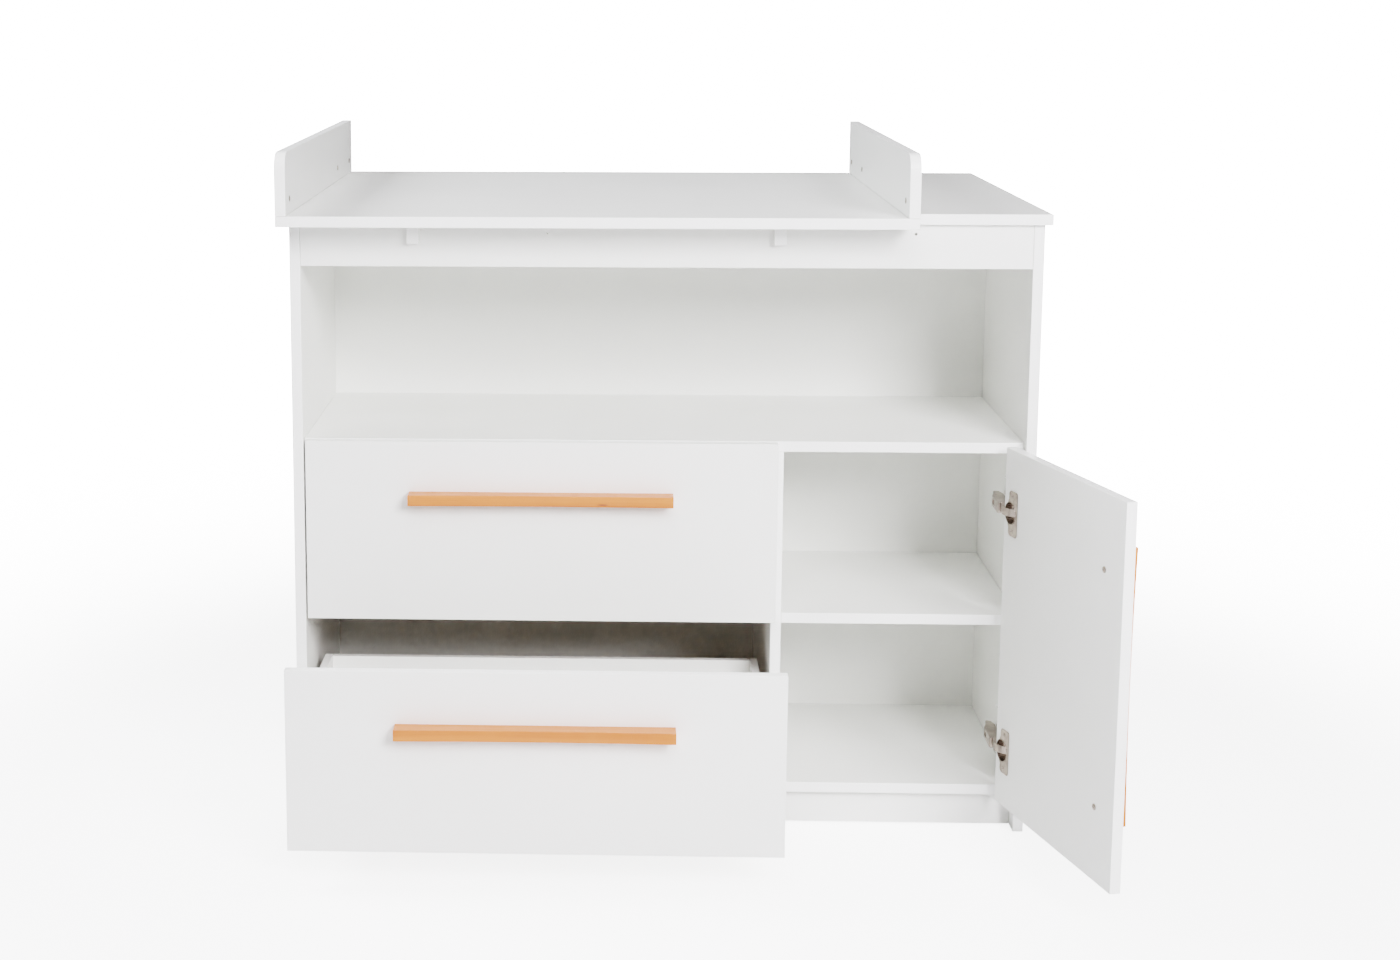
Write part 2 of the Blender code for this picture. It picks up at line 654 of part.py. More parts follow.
def door(cabinet):
    left, right = door_edges()
    axis = hinge_axis()
    body = empty_at("door", (axis[0], axis[1], FRONT_LOW), cabinet)
    body.rotation_euler.z = DOOR_OPEN_ANGLE
    panel = box("door_panel", (left, 0, FRONT_LOW), (right, FRONT_THICKNESS, FRONT_HIGH),
                body, white_board("door_panel"))
    for label, height in hinge_heights():
        bore = cylinder_mesh("cup_bore_" + label, CUP_RADIUS + CUP_PLAY, 2 * (CUP_DEPTH + CUP_PLAY), "Y", 32)
        combine(panel, add_tool(bore, (right - CUP_FROM_EDGE, FRONT_THICKNESS, height), body))
        hinge_cup(label, height, body)
        hinge_arm(label, height, cabinet)
    handle_x = left + DOOR_HANDLE_FROM_EDGE
    handle_z = (FRONT_LOW + FRONT_HIGH) / 2
    bar = handle("door_handle", (handle_x, 0, handle_z), body, UPRIGHT)
    for label, offset in (("lower", -HANDLE_SCREW_SPACING / 2), ("upper", HANDLE_SCREW_SPACING / 2)):
        z = handle_z + offset
        hole = cylinder_mesh("handle_hole_" + label, SCREW_RADIUS + SCREW_PLAY,
                             2 * (FRONT_THICKNESS + GAP), "Y", 16)
        combine(panel, add_tool(hole, (handle_x, FRONT_THICKNESS / 2, z), body))
        pilot = cylinder_mesh("handle_pilot_" + label, SCREW_RADIUS + SCREW_PLAY, 2 * (SCREW_BITE + GAP), "Y", 16)
        combine(bar, add_tool(pilot, (handle_x, 0, z), body))
        handle_screw("door_handle_screw_" + label, handle_x, z, body)


def stand_on_origin(cabinet):
    """Moves the whole object so that the origin lies under the middle of its box, on the floor."""
    bpy.context.view_layer.update()
    graph = bpy.context.evaluated_depsgraph_get()
    corners = []
    for piece in PARTS.objects:
        if piece.type == "MESH":
            shown = piece.evaluated_get(graph)
            corners += [shown.matrix_world @ vertex.co for vertex in shown.data.vertices]
    low = Vector([min(corner[i] for corner in corners) for i in range(3)])
    high = Vector([max(corner[i] for corner in corners) for i in range(3)])
    cabinet.location = (-(low.x + high.x) / 2, -(low.y + high.y) / 2, -low.z)
    bpy.context.view_layer.update()


clear_scene()
PARTS = new_collection("changing_table")
TOOLS = new_collection("cutters")

CABINET = empty_at("cabinet", (0, 0, 0))
side_panels(CABINET)
carcass_boards(CABINET)
back_panel_and_rail(CABINET)
cabinet_shelf(CABINET)
glides(CABINET)
top_boards(CABINET)
stop_blocks(CABINET)
rear_consoles(CABINET)
LOWER_FRONT_HIGH = FRONT_LOW + LOWER_FRONT_HEIGHT
drawer("lower_drawer", FRONT_LOW, LOWER_FRONT_HIGH, LOWER_DRAWER_PULL, CABINET)
drawer("upper_drawer", LOWER_FRONT_HIGH + DRAWER_SEAM, FRONT_HIGH, 0.0, CABINET)
door(CABINET)
stand_on_origin(CABINET)
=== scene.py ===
# %% [markdown]
# # A changing table and its looks
#
# The real thing is a cabinet of white melamine boards with two drawers, a door, beech handles and a
# deep top with a low wall on each side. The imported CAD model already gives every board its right
# size and place, so this file adds what a CAD model lacks: finishes, small fittings and light.
# Flat boards stay as they are and get a better material. Pieces with a richer real shape, such as
# hinges, handles and screws, are built again here and stand for their CAD nodes.

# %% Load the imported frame
import json
import math

import bmesh
import bpy
from mathutils import Matrix, Vector


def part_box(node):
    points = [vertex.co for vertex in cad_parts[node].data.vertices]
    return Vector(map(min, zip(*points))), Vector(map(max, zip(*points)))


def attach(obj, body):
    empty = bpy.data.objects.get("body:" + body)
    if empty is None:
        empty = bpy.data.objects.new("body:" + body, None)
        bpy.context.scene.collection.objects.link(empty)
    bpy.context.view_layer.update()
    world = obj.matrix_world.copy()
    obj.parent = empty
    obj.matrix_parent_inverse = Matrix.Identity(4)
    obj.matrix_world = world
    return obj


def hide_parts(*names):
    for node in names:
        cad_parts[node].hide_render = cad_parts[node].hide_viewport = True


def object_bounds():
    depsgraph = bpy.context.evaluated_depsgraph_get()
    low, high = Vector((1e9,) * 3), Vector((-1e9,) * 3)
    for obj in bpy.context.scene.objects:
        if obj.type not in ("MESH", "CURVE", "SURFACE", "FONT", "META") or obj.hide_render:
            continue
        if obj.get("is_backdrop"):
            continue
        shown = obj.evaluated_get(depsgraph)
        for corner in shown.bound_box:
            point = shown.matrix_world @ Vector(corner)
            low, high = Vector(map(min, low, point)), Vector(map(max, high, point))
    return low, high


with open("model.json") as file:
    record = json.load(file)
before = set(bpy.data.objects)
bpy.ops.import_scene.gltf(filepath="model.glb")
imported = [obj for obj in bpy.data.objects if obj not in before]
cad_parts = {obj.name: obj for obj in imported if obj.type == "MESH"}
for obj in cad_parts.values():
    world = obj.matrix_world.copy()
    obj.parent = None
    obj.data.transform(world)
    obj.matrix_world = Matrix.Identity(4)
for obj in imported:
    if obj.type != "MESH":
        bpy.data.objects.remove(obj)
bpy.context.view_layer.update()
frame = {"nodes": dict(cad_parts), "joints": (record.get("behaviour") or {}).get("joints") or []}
nodes = frame["nodes"]
joints = {joint["name"]: joint for joint in frame["joints"]}

# %% [markdown]
# ## The door's turn
#
# The door stands open in the frame, and nobody likes to model at an angle of 105 degrees. So every
# door fitting is modelled as if the door were shut, square to the world, and one matrix then swings
# it open about the hinge axis. Another way is a parent empty that turns, but the frame's own door
# body does that job in the end, and a plain matrix is easier to check.

# %% Matrices for the shut and the open door
hinge_joint = joints["door_hinge"]
hinge_axis = Vector(hinge_joint["pos_m"])
open_angle = -math.radians(hinge_joint["range_deg"][0])
TO_AXIS = Matrix.Translation(hinge_axis)
DOOR_OPEN = TO_AXIS @ Matrix.Rotation(open_angle, 4, "Z") @ TO_AXIS.inverted()
DOOR_SHUT = DOOR_OPEN.inverted()


def shut_box(node):
    """The box of a door node as if the door were shut: its lowest and highest corners."""
    points = [DOOR_SHUT @ vertex.co for vertex in nodes[node].data.vertices]
    low = Vector([min(point[axis] for point in points) for axis in range(3)])
    high = Vector([max(point[axis] for point in points) for axis in range(3)])
    return low, high


door_low, door_high = shut_box("door_panel")
print("door opens by", round(math.degrees(open_angle), 1), "degrees; shut box",
      [round(v, 4) for v in door_low], [round(v, 4) for v in door_high])

# %% [markdown]
# ## Short words for shader nodes
#
# A material in Blender is a tree of nodes. Adding nodes by hand in code takes three lines each, so
# a few helpers keep the recipes readable. Most add one kind of node and fill its inputs, and the
# last starts a node group with named inputs and outputs. A group is made once and placed in many
# materials, each with its own values, in the way that a painter uses one stencil for many colours.

# %% Helpers for nodes and groups
def add_node(tree, kind, inputs=None, **settings):
    """Adds a node. An input is a number, a vector or colour, or the socket to link it to."""
    node = tree.nodes.new(kind)
    for key, value in settings.items():
        setattr(node, key, value)
    for key, value in (inputs or {}).items():
        if isinstance(value, bpy.types.NodeSocket):
            tree.links.new(value, node.inputs[key])
        else:
            node.inputs[key].default_value = value
    return node


def math_node(tree, operation, first, second=0.0, clamp=False):
    inputs = {0: first, 1: second}
    return add_node(tree, "ShaderNodeMath", inputs, operation=operation, use_clamp=clamp).outputs[0]


def vector_node(tree, operation, first, second, output="Vector"):
    inputs = {0: first, 1: second}
    return add_node(tree, "ShaderNodeVectorMath", inputs, operation=operation).outputs[output]


def object_place(tree):
    """The point being shaded, in metres on the object itself."""
    return add_node(tree, "ShaderNodeTexCoord").outputs["Object"]


def noise_node(tree, place, scale, detail, **inputs):
    return add_node(tree, "ShaderNodeTexNoise",
                    {"Vector": place, "Scale": scale, "Detail": detail, **inputs}).outputs[0]


def ramp_node(tree, value, low, high, out_low=0.0, out_high=1.0):
    """Maps low..high to out_low..out_high with soft ends."""
    settings = {"Value": value, "From Min": low, "From Max": high, "To Min": out_low, "To Max": out_high}
    return add_node(tree, "ShaderNodeMapRange", settings, interpolation_type="SMOOTHSTEP").outputs[0]


def mix_colour(tree, amount, first, second):
    node = add_node(tree, "ShaderNodeMix", {0: amount, 6: first, 7: second}, data_type="RGBA")
    return node.outputs[2]


def new_group(name, inputs, outputs):
    """Starts a node group. inputs are (name, kind, value), outputs are names of plain values."""
    group = bpy.data.node_groups.new(name, "ShaderNodeTree")
    for title, kind, value in inputs:
        socket = group.interface.new_socket(title, in_out="INPUT", socket_type="NodeSocket" + kind)
        socket.default_value = value
    for title in outputs:
        group.interface.new_socket(title, in_out="OUTPUT", socket_type="NodeSocketFloat")
    source = group.nodes.new("NodeGroupInput").outputs
    target = group.nodes.new("NodeGroupOutput").inputs
    print("group", name, "gives", ", ".join(outputs))
    return group, source, target


# %% [markdown]
# ## Effects that several finishes share
#
# Five effects turn up again and again. *Fine texture* is the pearl of a pressed board, the peel of a
# powder coat or the grain of moulded plastic, and with it comes a slow cloudy change. *Streaks* are
# long and thin: wood fibres, brushing, saw marks. *Board edges* tells a board's big faces from the
# narrow edge band glued on round it, by comparing the normal with the board's thickness direction.
# *Scratches* are hair lines that only change the gloss. *Worn edges* finds corners with the Bevel
# node, which works on coarse meshes where Pointiness does not. All read object coordinates, so the
# pattern sticks to a drawer or a door when it moves.

# %% Group: fine texture and clouds
fine_texture, source, target = new_group(
    "fine_texture", [("Grain per Metre", "Float", 900.0), ("Clouds per Metre", "Float", 5.0)],
    ["Grain", "Clouds"])
place = object_place(fine_texture)
grain = noise_node(fine_texture, place, source["Grain per Metre"], 2.0, Roughness=0.6)
clouds = noise_node(fine_texture, place, source["Clouds per Metre"], 3.0)
fine_texture.links.new(grain, target["Grain"])
fine_texture.links.new(ramp_node(fine_texture, clouds, 0.32, 0.68), target["Clouds"])

# %% Group: long streaks
streaks, source, target = new_group(
    "streaks", [("Cycles per Metre", "Vector", (8.0, 400.0, 400.0)), ("Shift", "Float", 0.0),
                ("Bend", "Float", 0.4)], ["Streaks", "Fibres"])
moved = vector_node(streaks, "ADD", object_place(streaks), source["Shift"])
long_way = vector_node(streaks, "MULTIPLY", moved, source["Cycles per Metre"])
broad = noise_node(streaks, long_way, 0.22, 3.0, Distortion=source["Bend"])
streaks.links.new(ramp_node(streaks, broad, 0.3, 0.7), target["Streaks"])
streaks.links.new(noise_node(streaks, long_way, 1.6, 4.0), target["Fibres"])

# %% Group: board faces and edge band
board_edges, source, target = new_group(
    "board_edges", [("Thickness Direction", "Vector", (0.0, 0.0, 1.0))], ["Edge Band", "Glue Line"])
facing = add_node(board_edges, "ShaderNodeTexCoord").outputs["Normal"]
along = vector_node(board_edges, "DOT_PRODUCT", facing, source["Thickness Direction"], "Value")
flatness = math_node(board_edges, "ABSOLUTE", along)
band = ramp_node(board_edges, flatness, 0.95, 0.45)
board_edges.links.new(band, target["Edge Band"])
between = math_node(board_edges, "MULTIPLY", band, math_node(board_edges, "SUBTRACT", 1.0, band))
board_edges.links.new(math_node(board_edges, "MULTIPLY", between, 4.0, clamp=True), target["Glue Line"])

# %% Group: hair scratches
scratches, source, target = new_group(
    "scratches", [("Lines per Metre", "Float", 30.0), ("Reach", "Float", 0.5)], ["Scratches"])
place = object_place(scratches)
paths = noise_node(scratches, place, source["Lines per Metre"], 1.0, Distortion=1.2)
off_line = math_node(scratches, "ABSOLUTE", math_node(scratches, "SUBTRACT", paths, 0.5))
hair = ramp_node(scratches, off_line, 0.006, 0.0)
patches = noise_node(scratches, place, 7.0, 2.0)
where = ramp_node(scratches, patches, math_node(scratches, "SUBTRACT", 1.0, source["Reach"]), 0.8)
scratches.links.new(math_node(scratches, "MULTIPLY", hair, where), target["Scratches"])

# %% Group: worn edges
worn_edges, source, target = new_group(
    "worn_edges", [("Width", "Float", 0.001), ("Breakup per Metre", "Float", 120.0)], ["Wear"])
bevelled = add_node(worn_edges, "ShaderNodeBevel", {"Radius": source["Width"]}, samples=4).outputs[0]
sharp = add_node(worn_edges, "ShaderNodeNewGeometry").outputs["Normal"]
agree = vector_node(worn_edges, "DOT_PRODUCT", bevelled, sharp, "Value")
corner = ramp_node(worn_edges, agree, 0.998, 0.93)
breakup = noise_node(worn_edges, object_place(worn_edges), source["Breakup per Metre"], 3.0)
patchy = ramp_node(worn_edges, breakup, 0.3, 0.7)
worn_edges.links.new(math_node(worn_edges, "MULTIPLY", corner, patchy), target["Wear"])


# %% [markdown]
# ## White melamine board
#
# The boards are chipboard with a white paper face, pressed with a very fine pearl texture, and a
# plastic band glued round the edges. The band is a little brighter and glossier than the face, with
# a hair line of shade where the two meet. One flat white would make the cabinet look like paper. The
# same recipe serves every board, and only the direction of its thickness changes.

# %% Start a material
def new_material(name):
    material = bpy.data.materials.new(name)
    material.use_nodes = True
    return material, material.node_tree, material.node_tree.nodes["Principled BSDF"]


def place_group(tree, group, **inputs):
    """Places a shared effect; underscores in the names of inputs stand for spaces."""
    values = {key.replace("_", " "): value for key, value in inputs.items()}
    return add_node(tree, "ShaderNodeGroup", values, node_tree=group).outputs


def add_bump(tree, shader, height, distance, strength=1.0):
    bump = add_node(tree, "ShaderNodeBump", {"Height": height, "Distance": distance, "Strength": strength})
    tree.links.new(bump.outputs[0], shader.inputs["Normal"])


# %% Melamine recipe
FACE_WHITE = (0.865, 0.867, 0.845, 1.0)
FACE_WHITE_LOW = (0.850, 0.853, 0.829, 1.0)
BAND_WHITE = (0.915, 0.917, 0.902, 1.0)
GLUE_SHADE = (0.66, 0.655, 0.635, 1.0)


def melamine(name, thickness_direction):
    material, tree, shader = new_material(name)
    texture = place_group(tree, fine_texture, Grain_per_Metre=1100.0, Clouds_per_Metre=4.0)
    edges = place_group(tree, board_edges, Thickness_Direction=thickness_direction)
    hair_lines = place_group(tree, scratches, Lines_per_Metre=14.0, Reach=0.45)
    face = mix_colour(tree, texture["Clouds"], FACE_WHITE, FACE_WHITE_LOW)
    colour = mix_colour(tree, edges["Edge Band"], face, BAND_WHITE)
    line = math_node(tree, "MULTIPLY", edges["Glue Line"], 0.35)
    tree.links.new(mix_colour(tree, line, colour, GLUE_SHADE), shader.inputs["Base Color"])
    soft_gloss = ramp_node(tree, texture["Clouds"], 0.0, 1.0, 0.40, 0.47)
    band_gloss = math_node(tree, "MULTIPLY", edges["Edge Band"], 0.10)
    line_gloss = math_node(tree, "MULTIPLY", hair_lines["Scratches"], 0.10)
    rubbed = math_node(tree, "ADD", math_node(tree, "SUBTRACT", soft_gloss, band_gloss), line_gloss)
    tree.links.new(rubbed, shader.inputs["Roughness"])
    shader.inputs["Specular IOR Level"].default_value = 0.42
    add_bump(tree, shader, texture["Grain"], 0.00012, 0.6)
    return material


door_across = (DOOR_OPEN.to_3x3() @ Vector((0, 1, 0))).to_tuple()
melamine_upright = melamine("melamine_upright", (1, 0, 0))
melamine_front = melamine("melamine_front", (0, 1, 0))
melamine_level = melamine("melamine_level", (0, 0, 1))
melamine_door = melamine("melamine_door", door_across)
print("melamine made for four directions; the door's is", [round(v, 3) for v in door_across])

# %% [markdown]
# ## Lacquered hardboard
#
# The back panel and the drawer bottoms are thin hardboard: white lacquer on the side one sees and
# bare pressed fibre on the other. A mask from the normal picks the side. The fibre side mixes two
# browns with fine noise and streaks, which reads as pressed wood pulp.

# %% Hardboard recipe
LACQUER_WHITE = (0.855, 0.858, 0.832, 1.0)
FIBRE_BROWN = (0.235, 0.145, 0.085, 1.0)
FIBRE_PALE = (0.36, 0.245, 0.155, 1.0)


def hardboard(name, bare_side):
    """Bare fibre shows where the normal points along bare_side."""
    material, tree, shader = new_material(name)
    texture = place_group(tree, fine_texture, Grain_per_Metre=650.0, Clouds_per_Metre=9.0)
    fibres = place_group(tree, streaks, Cycles_per_Metre=(260.0, 260.0, 260.0), Bend=1.5)
    facing = add_node(tree, "ShaderNodeTexCoord").outputs["Normal"]
    along = vector_node(tree, "DOT_PRODUCT", facing, bare_side, "Value")
    bare = ramp_node(tree, along, 0.3, 0.7)
    speckle = math_node(tree, "MULTIPLY", texture["Grain"], fibres["Fibres"])
    brown = mix_colour(tree, ramp_node(tree, speckle, 0.14, 0.36), FIBRE_BROWN, FIBRE_PALE)
    white = mix_colour(tree, texture["Clouds"], LACQUER_WHITE, FACE_WHITE_LOW)
    tree.links.new(mix_colour(tree, bare, white, brown), shader.inputs["Base Color"])
    tree.links.new(ramp_node(tree, bare, 0.0, 1.0, 0.42, 0.78), shader.inputs["Roughness"])
    add_bump(tree, shader, math_node(tree, "MULTIPLY", speckle, bare), 0.0004, 0.5)
    return material


hardboard_back = hardboard("hardboard_back", (0, 1, 0))
hardboard_bottom = hardboard("hardboard_bottom", (0, 0, -1))

# %% [markdown]
# ## Steamed beech
#
# Beech is a calm, pinkish tan wood. Close up it shows soft growth bands, hair-thin fibres and, as its
# signature, a scatter of short dark dashes, the ray flecks, a few millimetres long, with a larger
# mark here and there. A clear satin lacquer lies on top, so the coat gives the gloss. The grain runs
# along each bar because each bar is modelled with its length on its own X axis. The shift moves the
# pattern from bar to bar.

# %% Beech recipe
BEECH_PALE = (0.69, 0.215, 0.075, 1.0)
BEECH_DEEP = (0.56, 0.150, 0.044, 1.0)
BEECH_FLECK = (0.25, 0.065, 0.022, 1.0)
BEECH_WORN_AND_HIGHLIGHT = (0.78, 0.34, 0.15, 1.0)


def dark_dots(tree, place, cells_per_metre, edge, middle, strength):
    """Dots in stretched cells: full at middle from a cell's point, gone at edge."""
    stretched = add_node(tree, "ShaderNodeMapping", {"Vector": place, "Scale": cells_per_metre}).outputs[0]
    cells = add_node(tree, "ShaderNodeTexVoronoi", {"Vector": stretched, "Scale": 1.0}).outputs["Distance"]
    return ramp_node(tree, cells, edge, middle, 0.0, strength)


def beech(name, shift):
    material, tree, shader = new_material(name)
    growth = place_group(tree, streaks, Cycles_per_Metre=(4.0, 300.0, 260.0), Shift=shift, Bend=0.5)
    texture = place_group(tree, fine_texture, Grain_per_Metre=1400.0, Clouds_per_Metre=11.0)
    wear = place_group(tree, worn_edges, Width=0.0012, Breakup_per_Metre=90.0)
    cloudy = ramp_node(tree, texture["Clouds"], 0.0, 1.0, 0.6, 1.0)
    tone = math_node(tree, "MULTIPLY", growth["Streaks"], cloudy)
    bands = mix_colour(tree, tone, BEECH_PALE, BEECH_DEEP)
    fibre = ramp_node(tree, growth["Fibres"], 0.35, 0.75, 0.0, 0.35)
    wood = mix_colour(tree, fibre, bands, BEECH_DEEP)
    moved = vector_node(tree, "ADD", object_place(tree), (shift, shift, shift))
    ray_flecks = dark_dots(tree, moved, (260.0, 1500.0, 1500.0), 0.22, 0.05, 0.7)
    pin_marks = dark_dots(tree, moved, (9.0, 60.0, 60.0), 0.10, 0.03, 0.9)
    dark = math_node(tree, "MAXIMUM", ray_flecks, pin_marks)
    flecked = mix_colour(tree, dark, wood, BEECH_FLECK)
    # The bevelled corners are painted paler: partly wear of the lacquer, partly a painted highlight where
    # the edges catch the light.
    edge = math_node(tree, "MULTIPLY", wear["Wear"], 0.35)
    tree.links.new(mix_colour(tree, edge, flecked, BEECH_WORN_AND_HIGHLIGHT), shader.inputs["Base Color"])
    tree.links.new(ramp_node(tree, growth["Fibres"], 0.3, 0.8, 0.36, 0.50), shader.inputs["Roughness"])
    shader.inputs["Coat Roughness"].default_value = 0.22
    tree.links.new(ramp_node(tree, texture["Clouds"], 0.0, 1.0, 0.16, 0.26), shader.inputs["Coat Weight"])
    add_bump(tree, shader, math_node(tree, "SUBTRACT", growth["Fibres"], dark), 0.00008, 0.5)
    return material


beech_upper = beech("beech_upper", 0.31)
beech_lower = beech("beech_lower", 1.07)
beech_door = beech("beech_door", 2.29)


# %% [markdown]
# ## Metals and plastics
#
# Nickel plate is a warm grey mirror that has been handled: fine brushing, hair lines and a few
# duller clouds. Powder-coated steel has an orange peel skin, and its white wears thin on the edges.
# Moulded plastic has a fine even grain. Each recipe is a few lines, as the groups carry the work.

# %% Metal and plastic recipes
NICKEL_WARM = (0.50, 0.445, 0.400, 1.0)
NICKEL_DULL = (0.36, 0.310, 0.270, 1.0)
NICKEL_WORN = (0.70, 0.66, 0.61, 1.0)
COAT_WHITE = (0.80, 0.80, 0.785, 1.0)
COAT_WHITE_LOW = (0.74, 0.74, 0.725, 1.0)
COAT_WORN = (0.52, 0.51, 0.49, 1.0)
PLASTIC_WORN = (0.55, 0.55, 0.54, 1.0)


def nickel(name, brushing):
    material, tree, shader = new_material(name)
    brushed = place_group(tree, streaks, Cycles_per_Metre=brushing, Bend=0.2)
    texture = place_group(tree, fine_texture, Grain_per_Metre=2500.0, Clouds_per_Metre=60.0)
    hair_lines = place_group(tree, scratches, Lines_per_Metre=220.0, Reach=0.7)
    wear = place_group(tree, worn_edges, Width=0.0005, Breakup_per_Metre=500.0)
    plate = mix_colour(tree, texture["Clouds"], NICKEL_WARM, NICKEL_DULL)
    tree.links.new(mix_colour(tree, wear["Wear"], plate, NICKEL_WORN), shader.inputs["Base Color"])
    shader.inputs["Metallic"].default_value = 1.0
    worn = math_node(tree, "ADD", ramp_node(tree, brushed["Fibres"], 0.3, 0.7, 0.22, 0.30),
                     math_node(tree, "MULTIPLY", hair_lines["Scratches"], 0.2))
    tree.links.new(worn, shader.inputs["Roughness"])
    add_bump(tree, shader, brushed["Fibres"], 0.00001, 0.12)
    return material


def coated_steel(name):
    material, tree, shader = new_material(name)
    texture = place_group(tree, fine_texture, Grain_per_Metre=700.0, Clouds_per_Metre=8.0)
    wear = place_group(tree, worn_edges, Width=0.0006, Breakup_per_Metre=150.0)
    coat = mix_colour(tree, texture["Clouds"], COAT_WHITE, COAT_WHITE_LOW)
    thin = math_node(tree, "MULTIPLY", wear["Wear"], 0.5)
    tree.links.new(mix_colour(tree, thin, coat, COAT_WORN), shader.inputs["Base Color"])
    tree.links.new(ramp_node(tree, texture["Grain"], 0.3, 0.7, 0.34, 0.44), shader.inputs["Roughness"])
    add_bump(tree, shader, texture["Grain"], 0.00015, 0.5)
    return material


def moulded(name, colour, dull, gloss):
    material, tree, shader = new_material(name)
    texture = place_group(tree, fine_texture, Grain_per_Metre=1800.0, Clouds_per_Metre=40.0)
    wear = place_group(tree, worn_edges, Width=0.0005, Breakup_per_Metre=300.0)
    skin = mix_colour(tree, texture["Clouds"], colour, dull)
    rubbed = mix_colour(tree, math_node(tree, "MULTIPLY", wear["Wear"], 0.4), skin, PLASTIC_WORN)
    tree.links.new(rubbed, shader.inputs["Base Color"])
    tree.links.new(ramp_node(tree, texture["Grain"], 0.3, 0.7, gloss, gloss + 0.12),
                   shader.inputs["Roughness"])
    add_bump(tree, shader, texture["Grain"], 0.00006, 0.6)
    return material


nickel_plate = nickel("nickel_plate", (2600.0, 2600.0, 60.0))
white_steel = coated_steel("white_steel")
black_plastic = moulded("black_plastic", (0.030, 0.030, 0.032, 1.0), (0.045, 0.045, 0.047, 1.0), 0.42)
white_nylon = moulded("white_nylon", (0.72, 0.72, 0.69, 1.0), (0.66, 0.66, 0.63, 1.0), 0.30)
print("materials", len(bpy.data.materials))

# %% [markdown]
# ## Dress the boards
#
# Every CAD board that is right as it is gets its finish through its material slot. The mesh stays
# untouched. The lists below sort the boards by the direction of their thickness.

# %% Give each board its finish
SIDES = ("left", "right")
DRAWERS = ("upper", "lower")
UPRIGHT = ["partition", "rear_console_left", "rear_console_middle", "rear_console_right",
           "hinge_spacer_lower", "hinge_spacer_upper"]
PAIRED = ("side_panel", "changing_wall", "stop_block", "upper_drawer_side", "lower_drawer_side")
UPRIGHT += [f"{board}_{side}" for board in PAIRED for side in SIDES]
LEVEL = ["bottom_panel", "middle_shelf", "cabinet_shelf", "changing_board", "side_top_board"]
FRONT = ["plinth", "front_rail", "rear_rail", "upper_drawer_front", "lower_drawer_front",
         "upper_drawer_back", "lower_drawer_back"]
RUNNERS = [f"{drawer}_drawer_{part}_runner_{side}"
           for drawer in DRAWERS for part in ("fixed", "sliding") for side in SIDES]


def dress(names, material):
    for name in names:
        nodes[name].data.materials.clear()
        nodes[name].data.materials.append(material)


dress(UPRIGHT, melamine_upright)
dress(LEVEL, melamine_level)
dress(FRONT, melamine_front)
dress(["door_panel"], melamine_door)
dress(["back_panel"], hardboard_back)
dress(["upper_drawer_bottom", "lower_drawer_bottom"], hardboard_bottom)
dress(RUNNERS, white_steel)
print("boards dressed", len(UPRIGHT) + len(LEVEL) + len(FRONT) + 4, "runners", len(RUNNERS))


# %% [markdown]
# ## Tools for small fittings
#
# Three ways of making cover nearly all cabinet hardware. Sheet parts are an *outline* given some
# thickness. Screws, pins and glides are *turned*: a half profile spun round an axis. Slots and cross
# recesses are *carved* with a boolean, once, in a mesh that many objects then share.

# %% Outlines, turned shapes and carving
def arc(centre, radius, start, end, steps):
    """Points on an arc in degrees, ends included."""
    angles = [math.radians(start + (end - start) * step / steps) for step in range(steps + 1)]
    return [(centre[0] + radius * math.cos(a), centre[1] + radius * math.sin(a)) for a in angles]


def finished(build, name):
    """Turns the faces outwards and hands the shape over as a mesh."""
    bmesh.ops.recalc_face_normals(build, faces=build.faces[:])
    mesh = bpy.data.meshes.new(name)
    build.to_mesh(mesh)
    build.free()
    return mesh


def outline_mesh(name, points, low, high, hole=()):
    """A closed plate with the given outline in X and Y, from low to high in Z, and perhaps a hole."""
    build = bmesh.new()
    for loop in (points, hole):
        corners = [build.verts.new((x, y, low)) for x, y in loop]
        for index, corner in enumerate(corners):
            build.edges.new((corner, corners[index - 1]))
    bmesh.ops.triangle_fill(build, edges=build.edges[:], use_beauty=True)
    if not hole:
        bmesh.ops.dissolve_faces(build, faces=build.faces[:])
    raised = bmesh.ops.extrude_face_region(build, geom=build.faces[:])["geom"]
    corners = [item for item in raised if isinstance(item, bmesh.types.BMVert)]
    bmesh.ops.translate(build, verts=corners, vec=(0, 0, high - low))
    return finished(build, name)


def turned_mesh(name, profile, steps=32):
    """Spins (radius, height) points round Z. The profile starts and ends on the axis."""
    build = bmesh.new()
    rings = []
    for radius, height in profile:
        count = 1 if radius == 0 else steps
        angles = [2 * math.pi * step / steps for step in range(count)]
        ring = [build.verts.new((radius * math.cos(a), radius * math.sin(a), height)) for a in angles]
        rings.append(ring)
    for below, above in zip(rings, rings[1:]):
        for step in range(steps):
            after = (step + 1) % steps
            corners = [below[step % len(below)], below[after % len(below)],
                       above[after % len(above)], above[step % len(above)]]
            build.faces.new(list(dict.fromkeys(corners)))
    return finished(build, name)


def baked(mesh, set_up):
    """Puts the mesh on a passing object, lets set_up add a modifier to it, and returns the result."""
    holder = bpy.data.objects.new(mesh.name + "_holder", mesh)
    bpy.context.scene.collection.objects.link(holder)
    set_up(holder)
    evaluated = holder.evaluated_get(bpy.context.evaluated_depsgraph_get())
    result = bpy.data.meshes.new_from_object(evaluated)
    result.name = mesh.name
    bpy.data.objects.remove(holder)
    return result


def set_bevel(piece, width, segments):
    rounding = piece.modifiers.new("rounding", "BEVEL")
    rounding.width = width
    rounding.segments = segments
    rounding.limit_method = "ANGLE"
    rounding.angle_limit = math.radians(35)


def rounded(mesh, width, segments):
    return baked(mesh, lambda piece: set_bevel(piece, width, segments))


